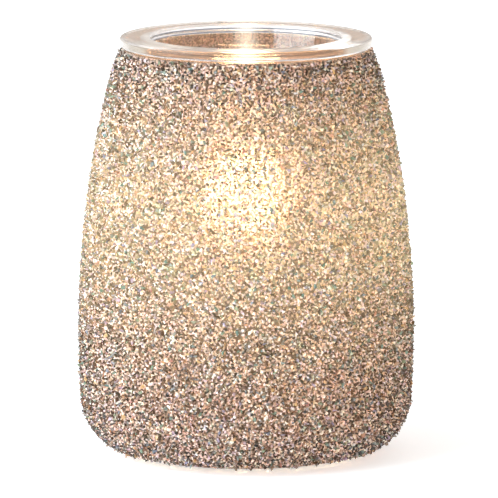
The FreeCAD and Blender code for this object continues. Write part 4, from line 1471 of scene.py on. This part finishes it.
@dataclass
class Studio:
    """Floor, world, lamps and camera."""

    camera_place: tuple[float, float, float] = (1.27 * MM, -3.0, 0.5622)
    camera_pitch: float = 8.977
    lens: float = 511.5
    floor_size: float = 16.0
    floor_gap: float = 0.05 * MM
    floor_white: Colour = (0.90, 0.92, 0.95)
    floor_lift: float = 0.5
    fibre_scale: float = 700.0
    fibre_shade: float = 0.985
    ambient: float = 0.70
    ambient_colour: Colour = (1.0, 0.95, 0.90)
    key_power: float = 182.0
    key_size: float = 3.6
    key_colour: Colour = (0.80, 0.925, 1.0)
    key_place: tuple[float, float, float] = (-2.45, -1.1, 1.35)
    key_aim: tuple[float, float, float] = (0.0, 0.0, 0.09)
    bounces: tuple[tuple[str, int], ...] = (
        ("transparent_max_bounces", 24), ("max_bounces", 32), ("transmission_bounces", 32),
        ("glossy_bounces", 24))

    def floor(self) -> None:
        """White floor that keeps the shadow."""
        mesh = bpy.data.meshes.new("floor")
        half = self.floor_size / 2
        low = -self.floor_gap
        mesh.from_pydata([(-half, -half, low), (half, -half, low), (half, half, low),
                          (-half, half, low)], [], [(0, 1, 2, 3)])
        paint = Paint("floor_paper")
        fibre = paint.noise(self.fibre_scale, 2.0)
        dull = tuple(self.fibre_shade * part for part in self.floor_white)
        material = paint.finish(Base_Color=paint.blend(fibre, self.floor_white, dull),
                                Roughness=0.8, Specular_IOR_Level=0.1,
                                Emission_Color=paint.scaled(WHITE, self.floor_lift))
        new_piece("floor", mesh, [material])

    def world(self) -> None:
        """Even pale light, white where the camera sees it, straight or through glass."""
        world = bpy.data.worlds.new("studio")
        world.use_nodes = True
        bpy.context.scene.world = world
        graph = Graph(world.node_tree)
        path = graph.add("ShaderNodeLightPath")
        camera, through = (Wire(graph, path.outputs[f"Is {kind} Ray"])
                           for kind in ("Camera", "Transmission"))
        lit, white = (graph.wire("ShaderNodeBackground", 0, None,
                                 {"Color": colour, "Strength": strength})
                      for colour, strength in ((self.ambient_colour, self.ambient),
                                               (WHITE, 1.0)))
        both = graph.add("ShaderNodeMixShader", None,
                         {0: (camera + through).above(0.5), 1: lit, 2: white})
        graph.add("ShaderNodeOutputWorld", None, {"Surface": Wire(graph, both.outputs[0])})

    def key(self) -> None:
        """Broad soft lamp from the left."""
        light = bpy.data.lights.new("key", "AREA")
        light.energy = self.key_power
        light.color = self.key_colour
        light.shape = "DISK"
        light.size = self.key_size
        lamp = new_piece("key", light)
        lamp.location = self.key_place
        aim = Vector(self.key_aim) - Vector(self.key_place)
        lamp.rotation_euler = aim.to_track_quat("-Z", "Y").to_euler()

    def camera(self) -> None:
        """Long-lens camera."""
        lens = bpy.data.cameras.new("camera")
        lens.lens = self.lens
        lens.clip_end = 30.0
        camera = new_piece("camera", lens)
        camera.location = self.camera_place
        camera.rotation_euler = (math.radians(90 - self.camera_pitch), 0.0, 0.0)
        bpy.context.scene.camera = camera

    def build(self) -> None:
        """Set up the studio."""
        self.floor()
        self.world()
        self.key()
        self.camera()
        scene = bpy.context.scene
        scene.view_settings.view_transform = "Standard"
        for name, count in self.bounces:
            setattr(scene.cycles, name, count)


def main() -> None:
    """Build the warmer, part by part."""
    logging.basicConfig(level=logging.INFO, format="%(name)s %(message)s")
    Studio().build()
    for part in (WaxDish(), CrystalShade(), Lamp(), BaseAndStand()):
        pieces = part.build()
        LOG.info("%s: %d pieces", type(part).__name__, len(pieces))


if __name__ == "__main__":
    main()
